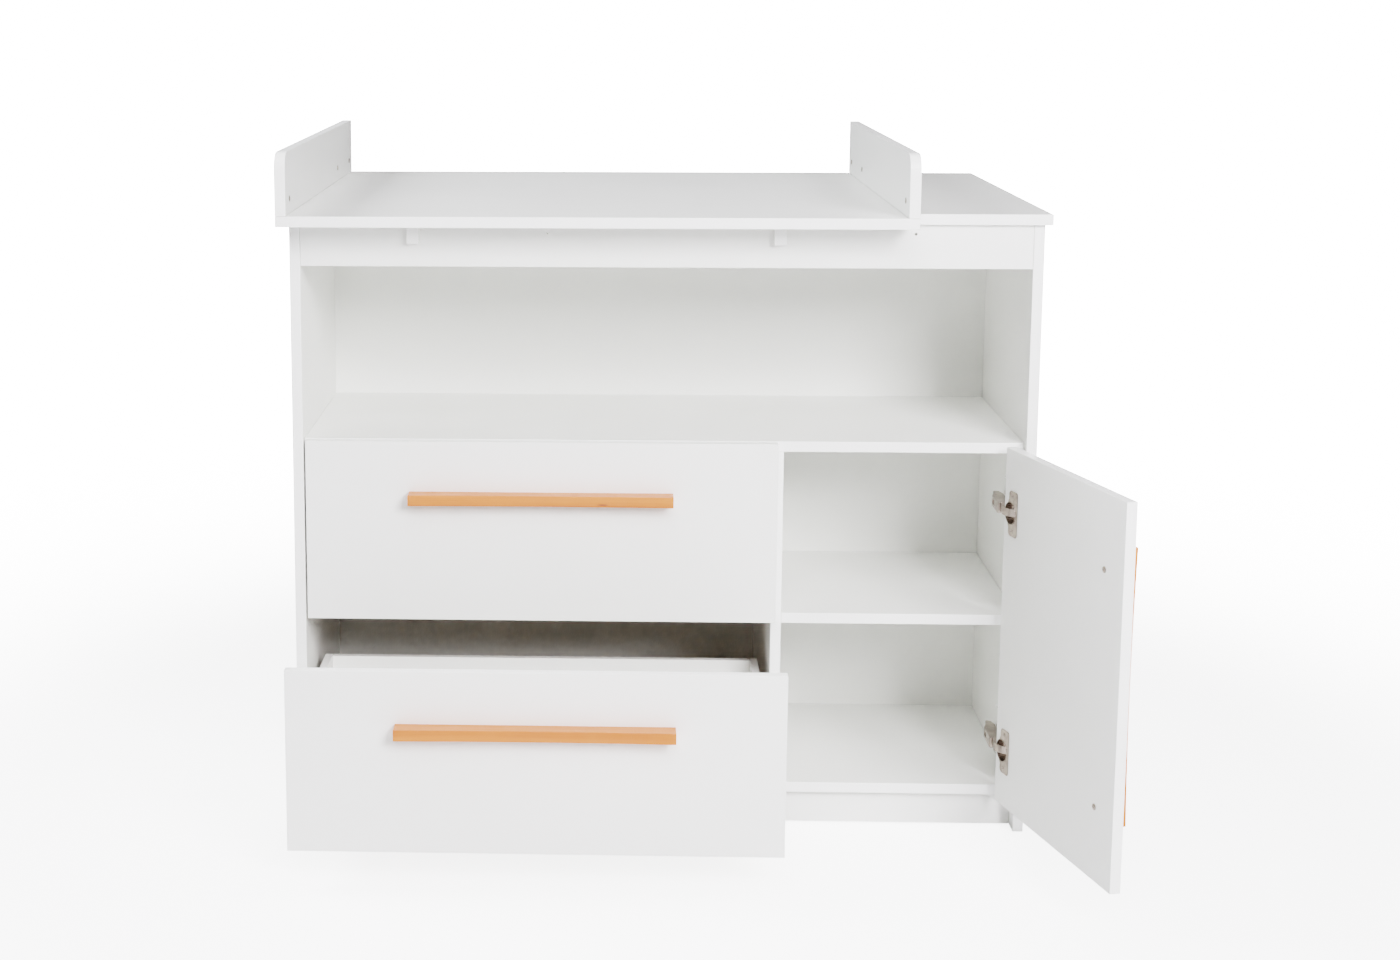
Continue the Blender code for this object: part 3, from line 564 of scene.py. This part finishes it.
def carve(mesh, cutter):
    """Cuts one mesh out of another and returns the new mesh."""
    tool = bpy.data.objects.new(mesh.name + "_tool", cutter)
    bpy.context.scene.collection.objects.link(tool)

    def set_cut(piece):
        cut = piece.modifiers.new("cut", "BOOLEAN")
        cut.operation = "DIFFERENCE"
        cut.object = tool
        cut.solver = "EXACT"

    result = baked(mesh, set_cut)
    bpy.data.objects.remove(tool)
    return result


# %% Put a piece in place
def add_piece(name, mesh, material, body, matrix, stands_for=(), edge=0.0):
    """Links a piece, lets it ride on a body, and hides the CAD nodes it stands for."""
    piece = bpy.data.objects.new(name, mesh)
    bpy.context.scene.collection.objects.link(piece)
    piece.matrix_world = matrix
    if not mesh.materials:
        mesh.materials.append(material)
    mesh.shade_smooth()
    if edge:
        set_bevel(piece, edge, 2)
    even = piece.modifiers.new("even_normals", "WEIGHTED_NORMAL")
    even.keep_sharp = True
    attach(piece, body)
    if stands_for:
        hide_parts(*stands_for)


def add_nickel(name, mesh, body, matrix, stands_for=(), edge=0.0):
    add_piece(name, mesh, nickel_plate, body, matrix, stands_for, edge)


def centre_of(low, high):
    return (low + high) / 2


def turned(degrees, axis):
    return Matrix.Rotation(math.radians(degrees), 4, axis)


# %% [markdown]
# ## Beech handles
#
# Each handle is one bar of beech. Seen from above it is full, with its outer edge drawn in a few
# millimetres towards the middle, which gives the bar its waist. From below, a groove for the fingers
# is milled behind the front edge and leaves a foot at each end. So the outline is made thick, its
# edges are rounded over, and a second outline then cuts the groove, in the order of the workshop.

# %% Handle outline and mesh
HANDLE_FOOT = 0.042
HANDLE_BAR = 0.014
HANDLE_WAIST = 0.003
HANDLE_TOP = 0.004
HANDLE_ROUNDING = 0.0008
HANDLE_SOFTENING = 0.0004
HANDLE_CURVE_STEPS = 64
OVERCUT = 0.001

low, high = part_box("upper_drawer_handle")
handle_length = high.x - low.x
handle_reach = high.y - low.y
handle_height = high.z - low.z


def handle_outline():
    """Half the length lies each side of X = 0, and the bar reaches towards -Y."""
    half = handle_length / 2
    points = [(-half, 0), (half, 0), (half, -handle_reach)]
    for step in range(1, HANDLE_CURVE_STEPS):
        u = half * (1 - 2 * step / HANDLE_CURVE_STEPS)
        points.append((u, -handle_reach + HANDLE_WAIST * (1 - (u / half) ** 2)))
    points.append((-half, -handle_reach))
    return points


def groove_outline():
    inner = handle_length / 2 - HANDLE_FOOT
    depth = handle_reach - HANDLE_WAIST - HANDLE_BAR
    points = [(inner, OVERCUT), (-inner, OVERCUT)]
    points += arc((-inner + depth, 0), depth, 180, 270, 14)
    points += arc((inner - depth, 0), depth, 270, 360, 14)
    return points


def handle_bar(name):
    half = handle_height / 2
    bar = rounded(outline_mesh(name, handle_outline(), -half, half), HANDLE_ROUNDING, 3)
    return carve(bar, outline_mesh(name + "_groove", groove_outline(), -half - OVERCUT, half - HANDLE_TOP))


# %% Place the three handles
for drawer, wood in zip(DRAWERS, (beech_upper, beech_lower)):
    low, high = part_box(f"{drawer}_drawer_handle")
    middle = centre_of(low, high)
    spot = Matrix.Translation((middle.x, high.y, middle.z))
    name = f"{drawer}_handle_bar"
    add_piece(name, handle_bar(name), wood, f"{drawer}_drawer", spot,
              [f"{drawer}_drawer_handle"], HANDLE_SOFTENING)
low, high = shut_box("door_handle")
middle = centre_of(low, high)
upright = Matrix.Translation((middle.x, high.y, middle.z)) @ turned(-90, "Y")
add_piece("door_handle_bar", handle_bar("door_handle_bar"), beech_door, "door",
          DOOR_OPEN @ upright, ["door_handle"], HANDLE_SOFTENING)
print("handle size", [round(v, 4) for v in (handle_length, handle_reach, handle_height)])

# %% [markdown]
# ## Screws
#
# Three kinds are enough: a pan head behind each handle and on the hinge plates, a small low head on
# the cups and arms, and a flat bolt with a hexagon socket for the side walls. A head is a turned
# shape with a recess carved in its top. The mesh is made once and shared, so a change shows
# everywhere.

# %% Screw heads
DOME_ANGLES = (15, 30, 45, 60, 75)
SHANK_SHARE = 0.42
RIM_SHARE = 0.3


def cross_outline(reach, width):
    """Twelve corners: the same three in each quarter, turned by a right angle each time."""
    r, w = reach / 2, width / 2
    points = []
    for c, s in ((1, 0), (0, 1), (-1, 0), (0, -1)):
        points += [(x * c - y * s, x * s + y * c) for x, y in ((w, -w), (r, -w), (r, w))]
    return points


def hexagon_outline(across):
    return arc((0, 0), across / math.sqrt(3), 0, 300, 5)


def screw_head(name, radius, height, shank, recess, depth):
    """Head on z = 0 with its recess on top and a short shank below."""
    core = radius * SHANK_SHARE
    rim = height * RIM_SHARE
    profile = [(0, -shank), (core, -shank), (core, 0), (radius, 0), (radius, rim)]
    for angle in map(math.radians, DOME_ANGLES):
        profile.append((radius * math.cos(angle), rim + (height - rim) * math.sin(angle)))
    profile.append((0, height))
    cutter = outline_mesh(name + "_recess", recess, height - depth, height + depth)
    return carve(turned_mesh(name, profile), cutter)


pan_head = screw_head("pan_head", 0.0045, 0.0020, 0.004, cross_outline(0.0046, 0.0011), 0.0013)
small_head = screw_head("small_head", 0.0034, 0.0010, 0.003, cross_outline(0.0038, 0.0009), 0.0008)
bolt_profile = [(0, -0.004), (0.0024, -0.004), (0.0024, 0), (0.0042, 0), (0.0042, 0.0006),
                (0.0038, 0.0009), (0, 0.0009)]
bolt_recess = outline_mesh("flat_bolt_recess", hexagon_outline(0.003), -0.0012, 0.002)
flat_bolt = carve(turned_mesh("flat_bolt", bolt_profile), bolt_recess)
print("faces of the screw heads", [len(head.polygons) for head in (pan_head, small_head, flat_bolt)])

# %% Handle screws, seen from inside
FACE_BACK = turned(-90, "X")
HANDLE_SCREWS_APART = 0.336
for drawer in DRAWERS:
    low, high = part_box(f"{drawer}_drawer_handle")
    inner_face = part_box(f"{drawer}_drawer_front")[1].y
    middle = centre_of(low, high)
    for side, shift in zip(SIDES, (-HANDLE_SCREWS_APART / 2, HANDLE_SCREWS_APART / 2)):
        spot = Matrix.Translation((middle.x + shift, inner_face, middle.z)) @ FACE_BACK
        add_nickel(f"{drawer}_handle_screw_{side}", pan_head, f"{drawer}_drawer", spot)
for level in ("lower", "upper"):
    node = f"door_handle_screw_{level}"
    low, high = shut_box(node)
    middle = centre_of(low, high)
    spot = Matrix.Translation((middle.x, door_high.y, middle.z)) @ FACE_BACK
    add_nickel(f"door_screw_{level}", pan_head, "door", DOOR_OPEN @ spot, [node])

# %% [markdown]
# ## Bolts in the side walls
#
# Each low wall is held by three bolts whose heads show on the inside: one near the front, one about
# a quarter of the way from the back and one close to the back. The shank goes into the wall, so only
# the thin head stands proud of the board.

# %% Place the wall bolts
BOLT_ABOVE_BOARD = 0.022
BOLT_FROM_FRONT = 0.040
BOLT_FROM_REAR = (0.205, 0.045)
board_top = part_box("changing_board")[1].z
for side, turn in zip(SIDES, (90, -90)):
    low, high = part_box(f"changing_wall_{side}")
    face_x = high.x if side == "left" else low.x
    places = [low.y + BOLT_FROM_FRONT] + [high.y - back for back in BOLT_FROM_REAR]
    for label, y in zip(("front", "middle", "rear"), places):
        spot = Matrix.Translation((face_x, y, board_top + BOLT_ABOVE_BOARD)) @ turned(turn, "Y")
        add_nickel(f"wall_bolt_{side}_{label}", flat_bolt, "cabinet", spot)

# %% [markdown]
# ## Hinges: the door's half
#
# A cup hinge has a round bowl sunk in the door and a thin flange screwed to its face. The flange has
# a straight edge on one side, and on the other it follows the bowl between two ears. A curved link
# comes out of the bowl and turns round the hinge axis. In the model the link belongs to the door,
# and its curve is centred on the axis, so it stays clear of the arm at every angle.

# %% Cup, flange and link
CUP_RADIUS = 0.0172
CUP_WALL = 0.001
CUP_FROM_DOOR_EDGE = 0.0225
WOOD_UNDER_CUP = 0.0041
FLANGE_SHEET = 0.0012
FLANGE_ABOVE_DOOR = 0.0015
FLANGE_TALL = 0.068
FLANGE_BACK = 0.0205
FLANGE_EAR = 0.0055
BACK_CORNER = 0.004
EAR_CORNER = 0.006
EAR_HOLLOW = 0.0045
EAR_FOOT = 0.0225
FLANGE_IN_CUP = 0.0006
CUP_SCREW_BACK = 0.0060
CUP_SCREW_LIFT = 0.0262
CUP_SCREW_SUNK = 0.0002
LINK_RADIUS = 0.0254
LINK_SHEET = 0.002
LINK_TALL = 0.012
LINK_END_DEPTH = 0.0098
LINK_FIRST_ANGLE = 73.0


def flange_outline():
    """X towards the hinge axis, Y up. The cup's centre is the origin."""
    tall = FLANGE_TALL / 2
    back = BACK_CORNER - FLANGE_BACK
    ear = FLANGE_EAR - EAR_CORNER
    hollow = FLANGE_EAR + EAR_HOLLOW
    points = arc((back, tall - BACK_CORNER), BACK_CORNER, 180, 90, 5)
    points += arc((ear, tall - EAR_CORNER), EAR_CORNER, 90, 0, 6)
    points += arc((hollow, EAR_FOOT), EAR_HOLLOW, 180, 235, 4)
    points += arc((0, 0), CUP_RADIUS - 0.0001, 58, -58, 18)
    points += arc((hollow, -EAR_FOOT), EAR_HOLLOW, 125, 180, 4)
    points += arc((ear, EAR_CORNER - tall), EAR_CORNER, 0, -90, 6)
    points += arc((back, BACK_CORNER - tall), BACK_CORNER, 270, 180, 5)
    return points


def cup_mesh(name, depth):
    """The bowl opens towards +Z, with its rim on z = 0."""
    outer, inner = CUP_RADIUS, CUP_RADIUS - CUP_WALL
    bottom = CUP_WALL - depth
    profile = [(0, -depth), (outer - 0.002, -depth), (outer, 0.002 - depth), (outer, 0.0),
               (outer - 0.0003, 0.0006), (inner + 0.0002, 0.0006), (inner, 0.0)]
    profile += [(inner, bottom + 0.003), (inner - 0.0012, bottom + 0.0008), (inner - 0.003, bottom),
                (0, bottom)]
    return turned_mesh(name, profile, 48)


def link_outline():
    """A strip bent round the hinge axis, from beside the arm to its end deep in the cup."""
    last_angle = 180 - math.degrees(math.asin(LINK_END_DEPTH / LINK_RADIUS))
    outer = arc((0, 0), LINK_RADIUS + LINK_SHEET / 2, LINK_FIRST_ANGLE, last_angle, 28)
    inner = arc((0, 0), LINK_RADIUS - LINK_SHEET / 2, last_angle, LINK_FIRST_ANGLE, 28)
    return outer + inner


print("flange points", len(flange_outline()), "link points", len(link_outline()))

# %% Place the door's half of each hinge
cup_centre_x = door_high.x - CUP_FROM_DOOR_EDGE
flange_face = door_high.y + FLANGE_ABOVE_DOOR
cup_depth = flange_face - door_low.y - WOOD_UNDER_CUP
flange_hole = arc((0, 0), CUP_RADIUS - FLANGE_IN_CUP, 0, 350, 35)
for level in ("lower", "upper"):
    height = centre_of(*shut_box(f"hinge_cup_{level}")).z
    seat = DOOR_OPEN @ Matrix.Translation((cup_centre_x, flange_face, height)) @ FACE_BACK
    add_nickel(f"cup_{level}", cup_mesh(f"cup_{level}", cup_depth), "door", seat, [f"hinge_cup_{level}"])
    flange = outline_mesh(f"flange_{level}", flange_outline(), -FLANGE_SHEET, 0.0, flange_hole)
    add_nickel(f"cup_flange_{level}", flange, "door", seat, edge=0.0003)
    for label, lift in (("top", CUP_SCREW_LIFT), ("bottom", -CUP_SCREW_LIFT)):
        spot = seat @ Matrix.Translation((-CUP_SCREW_BACK, -lift, -CUP_SCREW_SUNK))
        add_nickel(f"cup_screw_{level}_{label}", small_head, "door", spot)
    link = outline_mesh(f"link_{level}", link_outline(), -LINK_TALL / 2, LINK_TALL / 2)
    turn = DOOR_OPEN @ Matrix.Translation((hinge_axis.x, hinge_axis.y, height))
    add_nickel(f"cup_link_{level}", link, "door", turn, edge=0.0004)
print("cup centre when shut", round(cup_centre_x, 4), "face", round(flange_face, 4))

# %% [markdown]
# ## Hinges: the cabinet's half
#
# The arm sits on a mounting plate whose two wings are screwed to the cabinet's side. A slot in the
# arm's face shows the adjusting screw, and a second screw further back holds the arm on the plate.
# The nose is cut to a curve about the hinge axis, so that the link can pass it at every angle.

# %% Arm and plate
ARM_TALL = 0.016
ARM_CLEAR_RADIUS = 0.0272
ARM_NOSE_CORNER = 0.003
ARM_TAIL_CORNER = 0.004
ARM_ABOVE_PANEL = 0.0032
SLOT_MIDDLE = 0.036
SLOT_LENGTH = 0.020
SLOT_TALL = 0.007
SLOT_DEPTH = 0.0016
WING_SHEET = 0.0042
WING_TALL = 0.046
WING_WIDE = 0.018
WING_CORNER = 0.004
WING_FROM_TIP = 0.0313
WING_SCREW_LIFT = 0.016
ARM_SCREWS = (("front", 0.030, 0.0014), ("rear", 0.062, 0.0058))


def arm_outline(low, high):
    """The arm seen from above, round the hinge axis: curved nose, straight back, sloping tail."""
    tip = low.y - hinge_axis.y
    nose = low.x - hinge_axis.x
    base = high.x - hinge_axis.x
    face = base - ARM_ABOVE_PANEL
    rear = high.y - hinge_axis.y
    start = 180 - math.degrees(math.asin(tip / ARM_CLEAR_RADIUS))
    corner = ARM_NOSE_CORNER
    points = arc((nose + corner, tip + corner), corner, 180, 270, 5)
    points += arc((0, 0), ARM_CLEAR_RADIUS, start, 120, 12)
    points += [(face, 0.0285), (face, rear - 0.018), (base - 0.007, rear - 0.002)]
    points += arc((nose + 0.010, rear - ARM_TAIL_CORNER), ARM_TAIL_CORNER, 90, 180, 5)
    points += [(nose + 0.006, rear - 0.014), (nose + 0.0045, rear - 0.018), (nose, rear - 0.030)]
    return points


def slot_outline(low):
    nose = low.x - hinge_axis.x
    middle = low.y - hinge_axis.y + SLOT_MIDDLE
    front, back = middle - SLOT_LENGTH / 2, middle + SLOT_LENGTH / 2
    outside, inside = nose - OVERCUT, nose + SLOT_DEPTH
    return [(outside, front), (inside, front), (inside, back), (outside, back)]


def wing_outline():
    """The plate that the wings form, X towards the cabinet's back and Y up, with round corners."""
    wide, tall = WING_WIDE / 2 - WING_CORNER, WING_TALL / 2 - WING_CORNER
    points = []
    for x, y, start in ((wide, tall, 0), (-wide, tall, 90), (-wide, -tall, 180), (wide, -tall, 270)):
        points += arc((x, y), WING_CORNER, start, start + 90, 5)
    return points


# %% Place the cabinet's half of each hinge
FACE_LEFT = turned(-90, "Y")
for level in ("lower", "upper"):
    node = f"hinge_arm_{level}"
    low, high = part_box(node)
    height = centre_of(low, high).z
    arm = outline_mesh(f"arm_{level}", arm_outline(low, high), -ARM_TALL / 2, ARM_TALL / 2)
    slot = outline_mesh("slot", slot_outline(low), -SLOT_TALL / 2, SLOT_TALL / 2)
    turn = Matrix.Translation((hinge_axis.x, hinge_axis.y, height))
    add_nickel(f"hinge_arm_body_{level}", carve(arm, slot), "cabinet", turn, [node], 0.0005)
    wing_y = low.y + WING_FROM_TIP
    seat = Matrix.Translation((high.x, wing_y, height)) @ FACE_LEFT @ turned(90, "Z")
    plate = outline_mesh(f"plate_{level}", wing_outline(), 0.0, WING_SHEET)
    add_nickel(f"hinge_plate_{level}", plate, "cabinet", seat, edge=0.0006)
    for label, lift in (("top", WING_SCREW_LIFT), ("bottom", -WING_SCREW_LIFT)):
        spot = Matrix.Translation((high.x - WING_SHEET, wing_y, height + lift)) @ FACE_LEFT
        add_nickel(f"plate_screw_{level}_{label}", pan_head, "cabinet", spot)
    for label, back, sunk in ARM_SCREWS:
        spot = Matrix.Translation((low.x + sunk, low.y + back, height)) @ FACE_LEFT
        add_nickel(f"arm_screw_{level}_{label}", small_head, "cabinet", spot)
print("arm box", [round(v, 4) for v in low], [round(v, 4) for v in high])

# %% [markdown]
# ## Shelf pins, glides and rollers
#
# A shelf pin is a short steel peg with a rounded end and a groove where it leaves the panel. A glide
# is a plastic disc nailed under each side panel. The drawers roll on nylon wheels, one at the front
# of each fixed runner and one at the rear of each sliding runner. All of them are turned shapes.

# %% Pins
low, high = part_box("shelf_pin_left_front")
half = (high.x - low.x) / 2
pin_profile = [(0, -half), (0.0019, -half), (0.0025, -half + 0.0006), (0.0025, 0.0004),
               (0.0021, 0.0007), (0.0021, 0.0013), (0.0025, 0.0016), (0.0025, half - 0.0010),
               (0.0018, half - 0.0002), (0, half)]
pin_mesh = turned_mesh("shelf_pin", pin_profile)
for side, turn in zip(SIDES, (90, -90)):
    for end in ("front", "rear"):
        node = f"shelf_pin_{side}_{end}"
        spot = Matrix.Translation(centre_of(*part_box(node))) @ turned(turn, "Y")
        add_nickel(f"pin_{side}_{end}", pin_mesh, "cabinet", spot, [node])

# %% Glides
low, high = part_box("glide_left_front")
radius = (high.x - low.x) / 2
tall = high.z - low.z
glide_profile = [(0, 0.0008), (0.0016, 0.0008), (0.0022, 0.0), (radius - 0.0012, 0.0),
                 (radius - 0.0003, 0.0005), (radius, 0.0014), (radius - 0.0003, tall), (0, tall)]
glide_mesh = turned_mesh("glide_disc", glide_profile, 40)
for side in SIDES:
    for end in ("front", "rear"):
        node = f"glide_{side}_{end}"
        low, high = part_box(node)
        middle = centre_of(low, high)
        spot = Matrix.Translation((middle.x, middle.y, low.z))
        add_piece(f"glide_disc_{side}_{end}", glide_mesh, black_plastic, "cabinet",
                  spot, [node])

# %% Runner wheels
WHEEL_RADIUS = 0.0118
WHEEL_WIDE = 0.0060
WHEEL_FROM_END = 0.016
wide = WHEEL_WIDE / 2
dish = wide - 0.0008
right_half = [(WHEEL_RADIUS, dish), (WHEEL_RADIUS - 0.0006, wide), (0.0098, wide), (0.009, dish),
              (0.004, dish), (0.0035, wide), (0, wide)]
left_half = [(radius, -across) for radius, across in reversed(right_half)]
wheel_mesh = turned_mesh("runner_wheel", left_half + right_half, 40)
LIE_ACROSS = turned(90, "Y")
for drawer in DRAWERS:
    for side in SIDES:
        fixed_low, fixed_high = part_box(f"{drawer}_drawer_fixed_runner_{side}")
        sliding_low, sliding_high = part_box(f"{drawer}_drawer_sliding_runner_{side}")
        x = (min(fixed_low.x, sliding_low.x) + max(fixed_high.x, sliding_high.x)) / 2
        wheels = (("fixed", "cabinet", fixed_low.y + WHEEL_FROM_END, centre_of(fixed_low, fixed_high).z),
                  ("sliding", f"{drawer}_drawer", sliding_high.y - WHEEL_FROM_END,
                   centre_of(sliding_low, sliding_high).z))
        for part, body, y, z in wheels:
            add_piece(f"{drawer}_{part}_wheel_{side}", wheel_mesh, white_nylon, body,
                      Matrix.Translation((x, y, z)) @ LIE_ACROSS)

# %% [markdown]
# ## Floor and light
#
# A catalogue picture of white furniture needs white all round and soft light, or its edges vanish or
# turn grey. A wide pale floor reaches the horizon, and the world behind it is white to the eye but
# lights the scene at a lower strength. Four soft lamps do the modelling: a key from the front right,
# a weaker one high in front, a fill from the left and a faint one overhead. Further out the floor
# fades to the white of the backdrop, so that no horizon shows.

# %% Floor
FLOOR_RADIUS = 30.0
FADE_START = 1.0
FADE_END = 3.2
FLOOR_GLOW = 0.13
BACKDROP_WHITE = 16.0
FLOOR_LIGHT = (0.86, 0.86, 0.865, 1.0)
FLOOR_DARK = (0.84, 0.84, 0.845, 1.0)
floor_build = bmesh.new()
bmesh.ops.create_circle(floor_build, cap_ends=True, segments=96, radius=FLOOR_RADIUS)
floor_mesh = bpy.data.meshes.new("floor")
floor_build.to_mesh(floor_mesh)
floor_build.free()
floor = bpy.data.objects.new("floor", floor_mesh)
bpy.context.scene.collection.objects.link(floor)
floor_paint, tree, shader = new_material("pale_floor")
texture = place_group(tree, fine_texture, Grain_per_Metre=120.0, Clouds_per_Metre=1.5)
tree.links.new(mix_colour(tree, texture["Clouds"], FLOOR_LIGHT, FLOOR_DARK), shader.inputs["Base Color"])
tree.links.new(ramp_node(tree, texture["Grain"], 0.3, 0.7, 0.55, 0.65), shader.inputs["Roughness"])
away = vector_node(tree, "LENGTH", object_place(tree), (0, 0, 0), "Value")
fade = ramp_node(tree, away, FADE_START, FADE_END, FLOOR_GLOW, 1.0)
seen = add_node(tree, "ShaderNodeLightPath").outputs["Is Camera Ray"]
glow = math_node(tree, "MULTIPLY", fade, seen)
grey = add_node(tree, "ShaderNodeCombineColor", {0: glow, 1: glow, 2: glow}).outputs[0]
tree.links.new(grey, shader.inputs["Emission Color"])
shader.inputs["Emission Strength"].default_value = BACKDROP_WHITE
floor_mesh.materials.append(floor_paint)
floor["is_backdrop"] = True


# %% World
def switch_node(tree, question, otherwise, then):
    """Gives then where question is 1, and otherwise where it is 0."""
    settings = {"Value": question, "To Min": otherwise, "To Max": then}
    return add_node(tree, "ShaderNodeMapRange", settings).outputs[0]


WORLD_LIGHT = 0.10
WORLD_IN_REFLECTIONS = 0.35
world = bpy.data.worlds.new("studio")
world.use_nodes = True
bpy.context.scene.world = world
tree = world.node_tree
background = tree.nodes["Background"]
ray = add_node(tree, "ShaderNodeLightPath").outputs
in_gloss = switch_node(tree, ray["Is Glossy Ray"], WORLD_LIGHT, WORLD_IN_REFLECTIONS)
strength = switch_node(tree, ray["Is Camera Ray"], in_gloss, BACKDROP_WHITE)
tree.links.new(strength, background.inputs["Strength"])
background.inputs["Color"].default_value = (0.99, 0.995, 1.0, 1.0)


# %% Lamps
NEUTRAL_LAMP = (0.985, 0.972, 1.0)
COOL_LAMP = (0.955, 0.970, 1.0)
LOW_AIM = (0.0, 0.0, 0.5)


def soft_lamp(name, place, aim, size, power, colour):
    """A square area lamp at place, turned towards aim."""
    lamp = bpy.data.lights.new(name, "AREA")
    lamp.shape = "SQUARE"
    lamp.size = size
    lamp.energy = power
    lamp.color = colour
    holder = bpy.data.objects.new(name, lamp)
    holder.location = place
    holder.rotation_euler = (Vector(aim) - Vector(place)).to_track_quat("-Z", "Y").to_euler()
    bpy.context.scene.collection.objects.link(holder)
    print(name, "at", [round(v, 2) for v in place], power, "W")


soft_lamp("key_lamp", (1.9, -4.0, 2.6), LOW_AIM, 1.6, 245, NEUTRAL_LAMP)
soft_lamp("high_lamp", (-0.1, -3.4, 3.6), LOW_AIM, 2.0, 87, NEUTRAL_LAMP)
soft_lamp("side_lamp", (-2.4, 0.2, 2.3), (0.2, 0.1, 1.0), 1.2, 62, COOL_LAMP)
soft_lamp("top_lamp", (0.2, -0.6, 3.4), (0.0, 0.1, 0.9), 2.0, 12, NEUTRAL_LAMP)

# %% [markdown]
# ## Camera
#
# The camera stands a little left of the cabinet's middle at chest height and looks slightly down. Its
# place and lens were found by fitting the board corners. The remaining offset of the object in the
# frame is done with a small lens shift, because turning the camera more would tilt the uprights.
# The Filmic curve with High Contrast keeps the whites apart where the standard curve would clip them,
# and eight diffuse bounces let light fill the white compartments as it does in a real white box.

# %% Place the camera
CAMERA_PLACE = (-0.1130, -3.3307, 1.2663)
LENS = 55.32
SHIFT_RIGHT = 0.1187
SHIFT_DOWN = 0.10
TURN_LEFT = 0.0365
LOOK_DOWN = 0.1601
camera_data = bpy.data.cameras.new("camera")
camera_data.lens = LENS
camera_data.sensor_width = 36.0
camera_data.shift_x = SHIFT_RIGHT
camera_data.shift_y = -SHIFT_DOWN
camera = bpy.data.objects.new("camera", camera_data)
camera.location = CAMERA_PLACE
camera.rotation_euler = (math.pi / 2 - LOOK_DOWN, 0.0, TURN_LEFT)
bpy.context.scene.collection.objects.link(camera)
bpy.context.scene.camera = camera
bpy.context.scene.view_settings.view_transform = "Filmic"
bpy.context.scene.view_settings.look = "High Contrast"
bpy.context.scene.cycles.diffuse_bounces = 8
print("camera at", [round(v, 3) for v in camera.location], "lens", LENS)

# %% [markdown]
# ## Measure and finish
#
# The box round everything that is shown is measured and printed.

# %% Measure the visual box and print it
low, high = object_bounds()
print("visual box", [round(v, 4) for v in low], [round(v, 4) for v in high])
